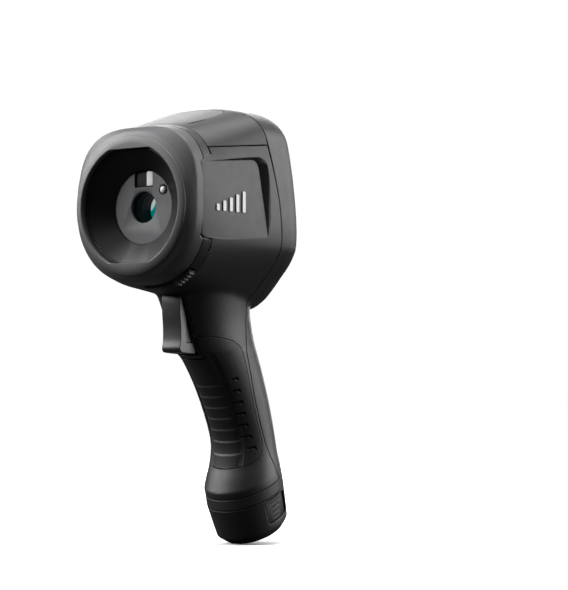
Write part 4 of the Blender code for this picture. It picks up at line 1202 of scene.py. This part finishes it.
triggerLook = {
    "half": 6.5, "pivot": (47.0, 141.5), "pinRadius": 1.25,
    "strap": [(39.4, 146.3), (37.3, 141), (37.2, 133), (38.0, 124), (38.0, 117), (37.2, 112.2),
              (38.4, 110.2)],
    "back": [(41.3, 109.8), (50.5, 109.3), (51.6, 111), (50.8, 128), (51.2, 144.5), (49.5, 146.3)],
    "pocket": [(42.8, 137.0), (45.0, 139.0), (49.2, 115.2), (42.8, 115.4)],
    "slot": [(43.2, 150), (58, 150), (58, 137.4), (43.2, 137.4)], "slotHalf": 2.4, "boreRadius": 1.35,
    "frame": [(36.4, 149.6), (37.0, 143.5), (42.9, 126), (47.6, 112.3), (49.9, 106.6), (55.4, 106.4),
              (59.5, 108.0), (59.5, 149.6)],
    "channel": [(20, 148), (58.2, 148), (58.2, 109.6), (52, 108.4), (44, 108.4), (20, 108.4)],
    "frameHalf": 7.95, "channelHalf": 7.1, "pinHalf": 7.8,
}


def makeTrigger():
    look = triggerLook
    outline = curveThrough(look["strap"], 5) + look["back"]
    trigger = plate("trigger", outline, -look["half"], look["half"], sidePoint, 1.9, 6)
    for sign in (-1, 1):
        rings = []
        for lift, spreadBy in ((5.9, -0.6), (6.2, -0.2), (6.7, 0.2)):
            ring = grow(roundCorners(look["pocket"], 0.8, 4), spreadBy)
            rings.append([sidePoint(y, z, sign * lift) for y, z in ring])
        carve(trigger, skin("pocket", rings))
    eye = oval(look["boreRadius"], look["boreRadius"], 2, 28, look["pivot"])
    bore = prism("bore", eye, -12, 12, sidePoint)
    slot = prism("slot", look["slot"], -look["slotHalf"], look["slotHalf"], sidePoint)
    carve(trigger, bore, slot)
    finishPiece(trigger, "trigger", "trigger", "gloss_black", "triggerPlastic", "trigger")
    edge = roundCorners(look["frame"], [1, 1, 3, 3, 2, 2, 1, 1])
    frameBlock = prism("triggerFrame", edge, -look["frameHalf"], look["frameHalf"], sidePoint)
    combine(frameBlock, form, "INTERSECT", spare=True)
    channel = prism("channel", look["channel"], -look["channelHalf"], look["channelHalf"], sidePoint)
    bore = prism("frameBore", eye, -12, 12, sidePoint)
    carve(frameBlock, channel, bore)
    soften(frameBlock, 0.3, 3, 40)
    finishPiece(frameBlock, "triggerFrame", "housing", "housing_plastic", "housingPlastic", "trigger_frame")
    pin = oval(look["pinRadius"], look["pinRadius"], 2, 28, look["pivot"])
    pin = plate("pin", pin, -look["pinHalf"], look["pinHalf"], sidePoint, 0.2, 2)
    finishPiece(pin, "triggerPin", "housing", "steel", "steel", "trigger_pin")


# Foot: collar, battery cap and latches

latchLook = {
    "middle": (1.5, 15.0), "halfV": 9.9, "halfU": 6.8, "corner": 2.2, "clear": 0.5, "sunk": 1.1,
    "ribs": 4, "ribFirst": -4.6, "ribPitch": 2.9, "ribDepth": 0.55,
    "dots": 3, "dotFirst": (7.6, -3.0), "dotPitch": 3.4, "dotRadius": 0.5,
}


def footZone(name, low, high):
    return blockZone(name, (-60, -80, low), (60, 80, high), footPoint)


def makeFoot():
    look = latchLook
    seamLow, seamHigh = shellLook["lowerSeam"], shellLook["upperSeam"]
    way = prism("cellWay", oval(14.5, 11.9, 2.2, 56, (0, 9.6)), 15, 40, footPoint)
    collar = portion("baseCollar", footZone("collarBand", seamLow + 0.28, seamHigh - 0.45), way, shell=False)
    finishPiece(collar, "baseCollar", "housing", "housing_plastic", "housingPlastic", "base_collar")
    cup = skin("cup", [[footPoint(x, v, u) for x, v in
                        oval(19.2 - 0.6 * (k > 1), 21.2 - 0.7 * (k > 1), 2.1, 56)]
                       for k, u in enumerate((26.5, 14, 5.2))])
    cap = portion("batteryCap", footZone("capBand", -3, seamLow - 0.25), cup, shell=False)
    for sign in (-1, 1):
        hole = roundedBox(look["halfV"], look["halfU"], look["corner"], look["middle"])
        rings = [[footSide(v, u, sign * x) for v, u in grow(hole, by)]
                 for x, by in ((14, 0), (19.6, 0), (20.4, 0.25), (21.3, 1.0), (23.5, 2.6))]
        carve(cap, skin("latchWindow", rings))
    carve(cap, turned("dimple", [(0.9, -1), (0.9, 0.35), (0.5, 0.5)], place=footPoint, steps=28))
    finishPiece(cap, "batteryCap", "battery", "housing_plastic", "housingPlastic", "battery_cap")
    for name, sign in (("latch_left", -1), ("latch_right", 1)):
        middle = look["middle"]
        outline = roundedBox(look["halfV"] - look["clear"], look["halfU"] - look["clear"], 1.8, middle)
        latch = prism(name, outline, sign * 16.2, sign * 25, footSide)
        shapeRings = []
        for u, v, half, depth in bodyForm["foot"][:3]:
            ring = oval(half - look["sunk"], depth - look["sunk"], 2.1, 120)
            shapeRings.append([footPoint(x, v + t, u) for x, t in ring])
        combine(latch, skin("latchSkin", shapeRings), "INTERSECT")
        for k in range(look["ribs"]):
            u = middle[1] + look["ribFirst"] + look["ribPitch"] * k
            groove = roundedBox(6.6, 0.55, 0.5, (middle[0] - 0.9, u))
            x = 20.6 - (23.5 - u) * 0.04
            carve(latch, prism("groove", groove, sign * (x - look["ribDepth"]), sign * 25, footSide))
        for k in range(look["dots"]):
            v, u = look["dotFirst"]
            spot = (middle[0] + v, middle[1] + u + look["dotPitch"] * k)
            dot = oval(look["dotRadius"], look["dotRadius"], 2, 20, spot)
            carve(latch, prism("dot", dot, sign * 19.0, sign * 25, footSide))
        soften(latch, 0.16, 2, 40)
        piece = "latchLeft" if sign < 0 else "latchRight"
        finishPiece(latch, piece, name, "bumper_rubber", "gripRubber", name)
    cell = plate("cell", oval(13.8, 10.4, 2.2, 72, (0, 9.9)), 13.5, 78.4, footPoint, 0.9, 4)
    finishPiece(cell, "batteryCell", "battery", "cell_wrap", "cellWrap", "battery_cell")


markLook = {"bars": 5, "first": 25.0, "pitch": 5.2, "half": 1.3, "low": 186.6, "top": 190.2, "rise": 2.0}


def makeMark():
    # five rising bars, printed on each side panel
    look = markLook
    for side, sign in (("Left", -1), ("Right", 1)):
        mark = None
        for k in range(look["bars"]):
            y, low, high = look["first"] + look["pitch"] * k, look["low"], look["top"] + look["rise"] * k
            bar = roundedBox(look["half"], (high - low) / 2, 0.6, (y, (low + high) / 2), 4)
            x = wallX(y) - 1.7
            bit = prism("bar", bar, sign * (x - 0.05), sign * (x + 0.07), sidePoint)
            mark = joined(mark, bit) if mark else bit
        finishPiece(mark, f"sideMark{side}", "housing", "housing_plastic", "printedMark")


for make in (makeFront, makePlate, makeOptics, makeCover):
    make()
gripLine = makeHousing()
makeGrip(gripLine)
for make in (makeTop, makeRear, makeScreen, makeKeys, makeTrigger, makeFoot, makeMark):
    make()

# Parts seen only through gaps or when something opens: CAD shapes with their own finishes
innerLooks = {
    "insidePlastic": ["optics_carrier", "nav_rocker_plate", "battery_contacts", "trigger_switch"],
    "steel": ["carrier_screw_1", "carrier_screw_2", "carrier_screw_3", "carrier_screw_4", "shutter_pin",
              "trigger_spring", "latch_left_spring", "latch_right_spring"],
    "circuitBoard": ["main_board", "keypad_board"],
}
for look, names in innerLooks.items():
    for name in names:
        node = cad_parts[name]
        node.data.materials.clear()
        node.data.materials.append(materials[look])
bpy.data.objects.remove(form)
bpy.data.objects.remove(hollow)
print("pieces ready")

# Floor, light and camera

stageLook = {
    "floor": 0.84, "floorBounce": 0.03, "world": 0.025, "sky": 1.05,
    "sun": 3.7, "sunAngle": 50, "sunTurn": (-6, 4, 0),
    "lens": 129.2, "azimuth": 38.0, "elevation": -1.5, "distance": 1.2, "aim": (0.0, -0.00675, 0.1215),
    "pan": (0.0415, 0.0179),
    # azimuth, elevation, distance, width, height and brightness of each softbox
    "softboxes": {
        "keyLeft": (-59, 33, 1.2, 1.15, 1.0, 8.2), "frontTop": (2, 38, 1.1, 0.4, 0.35, 2.0),
        "sideRight": (138, 14, 1.1, 0.75, 1.1, 5.6), "rearLeft": (209, 17, 1.2, 0.8, 0.85, 6.0),
        "fillRight": (92, 48, 1.3, 0.9, 0.9, 0.8),
    },
}


def towards(azimuth, elevation):
    a, e = math.radians(azimuth), math.radians(elevation)
    return Vector((math.sin(a) * math.cos(e), -math.cos(a) * math.cos(e), math.sin(e)))


def makeStage():
    bpy.ops.mesh.primitive_grid_add(x_subdivisions=8, y_subdivisions=8, size=1)
    floor = bpy.context.object
    floor.name = "floor"
    setCoordinates(floor, coordinates(floor) * np.array([60, 60, 1]))
    material = bpy.data.materials.new("floor")
    material.use_nodes = True
    tree = material.node_tree
    shader = tree.nodes["Principled BSDF"]
    spot = tree.nodes.new("ShaderNodeTexCoord").outputs["Object"]
    pale = stageLook["floor"]
    tone = rangeNode(tree, noiseNode(tree, 3, 2, spot).outputs[0], 0.3, 0.7, pale - 0.01, pale + 0.01)
    seen = tree.nodes.new("ShaderNodeLightPath").outputs["Is Camera Ray"]
    dim = stageLook["floorBounce"]
    tree.links.new(mixNode(tree, seen, (dim, dim, dim), tone.outputs[0]), shader.inputs["Base Color"])
    shader.inputs["Roughness"].default_value = 0.9
    shader.inputs["Specular IOR Level"].default_value = 0.0
    floor.data.materials.append(material)
    world = bpy.data.worlds.new("studio")
    bpy.context.scene.world = world
    world.use_nodes = True
    tree = world.node_tree
    background = tree.nodes["Background"]
    path = tree.nodes.new("ShaderNodeLightPath")
    tone = tree.nodes.new("ShaderNodeMapRange")
    tone.inputs["To Min"].default_value = stageLook["world"]
    tone.inputs["To Max"].default_value = stageLook["sky"]
    tree.links.new(path.outputs["Is Camera Ray"], tone.inputs["Value"])
    tree.links.new(tone.outputs[0], background.inputs["Strength"])
    background.inputs["Color"].default_value = (1, 1, 1, 1)


def softbox(name, azimuth, elevation, distance, width, height, brightness):
    data = bpy.data.lights.new(name, "AREA")
    data.shape = "RECTANGLE"
    data.size, data.size_y = width, height
    data.energy = brightness * math.pi * width * height
    lamp = bpy.data.objects.new(name, data)
    bpy.context.scene.collection.objects.link(lamp)
    back = towards(azimuth, elevation)
    lamp.location = Vector((0, 0, 0.15)) + back * distance
    lamp.rotation_euler = (-back).to_track_quat("-Z", "Y").to_euler()
    lamp.visible_camera = False


def makeLights():
    for name, values in stageLook["softboxes"].items():
        softbox(name, *values)
    sun = bpy.data.lights.new("overhead", "SUN")
    sun.energy, sun.angle = stageLook["sun"], math.radians(stageLook["sunAngle"])
    lamp = bpy.data.objects.new("overhead", sun)
    bpy.context.scene.collection.objects.link(lamp)
    lamp.rotation_euler = [math.radians(turn) for turn in stageLook["sunTurn"]]


def makeCamera():
    look = stageLook
    data = bpy.data.cameras.new("camera")
    camera = bpy.data.objects.new("camera", data)
    bpy.context.scene.collection.objects.link(camera)
    data.lens, data.clip_start, data.clip_end = look["lens"], 0.05, 100
    back = towards(look["azimuth"], look["elevation"])
    camera.location = Vector(look["aim"]) + back * look["distance"]
    turn = (-back).to_track_quat("-Z", "Y")
    right, up = turn @ Vector((1, 0, 0)), turn @ Vector((0, 1, 0))
    aim = -back + right * look["pan"][0] + up * look["pan"][1]
    camera.rotation_euler = aim.to_track_quat("-Z", "Y").to_euler()
    bpy.context.scene.camera = camera


makeStage()
makeLights()
makeCamera()
scene = bpy.context.scene
scene.view_settings.view_transform = "Standard"
scene.view_settings.look = "None"
print("stage ready")
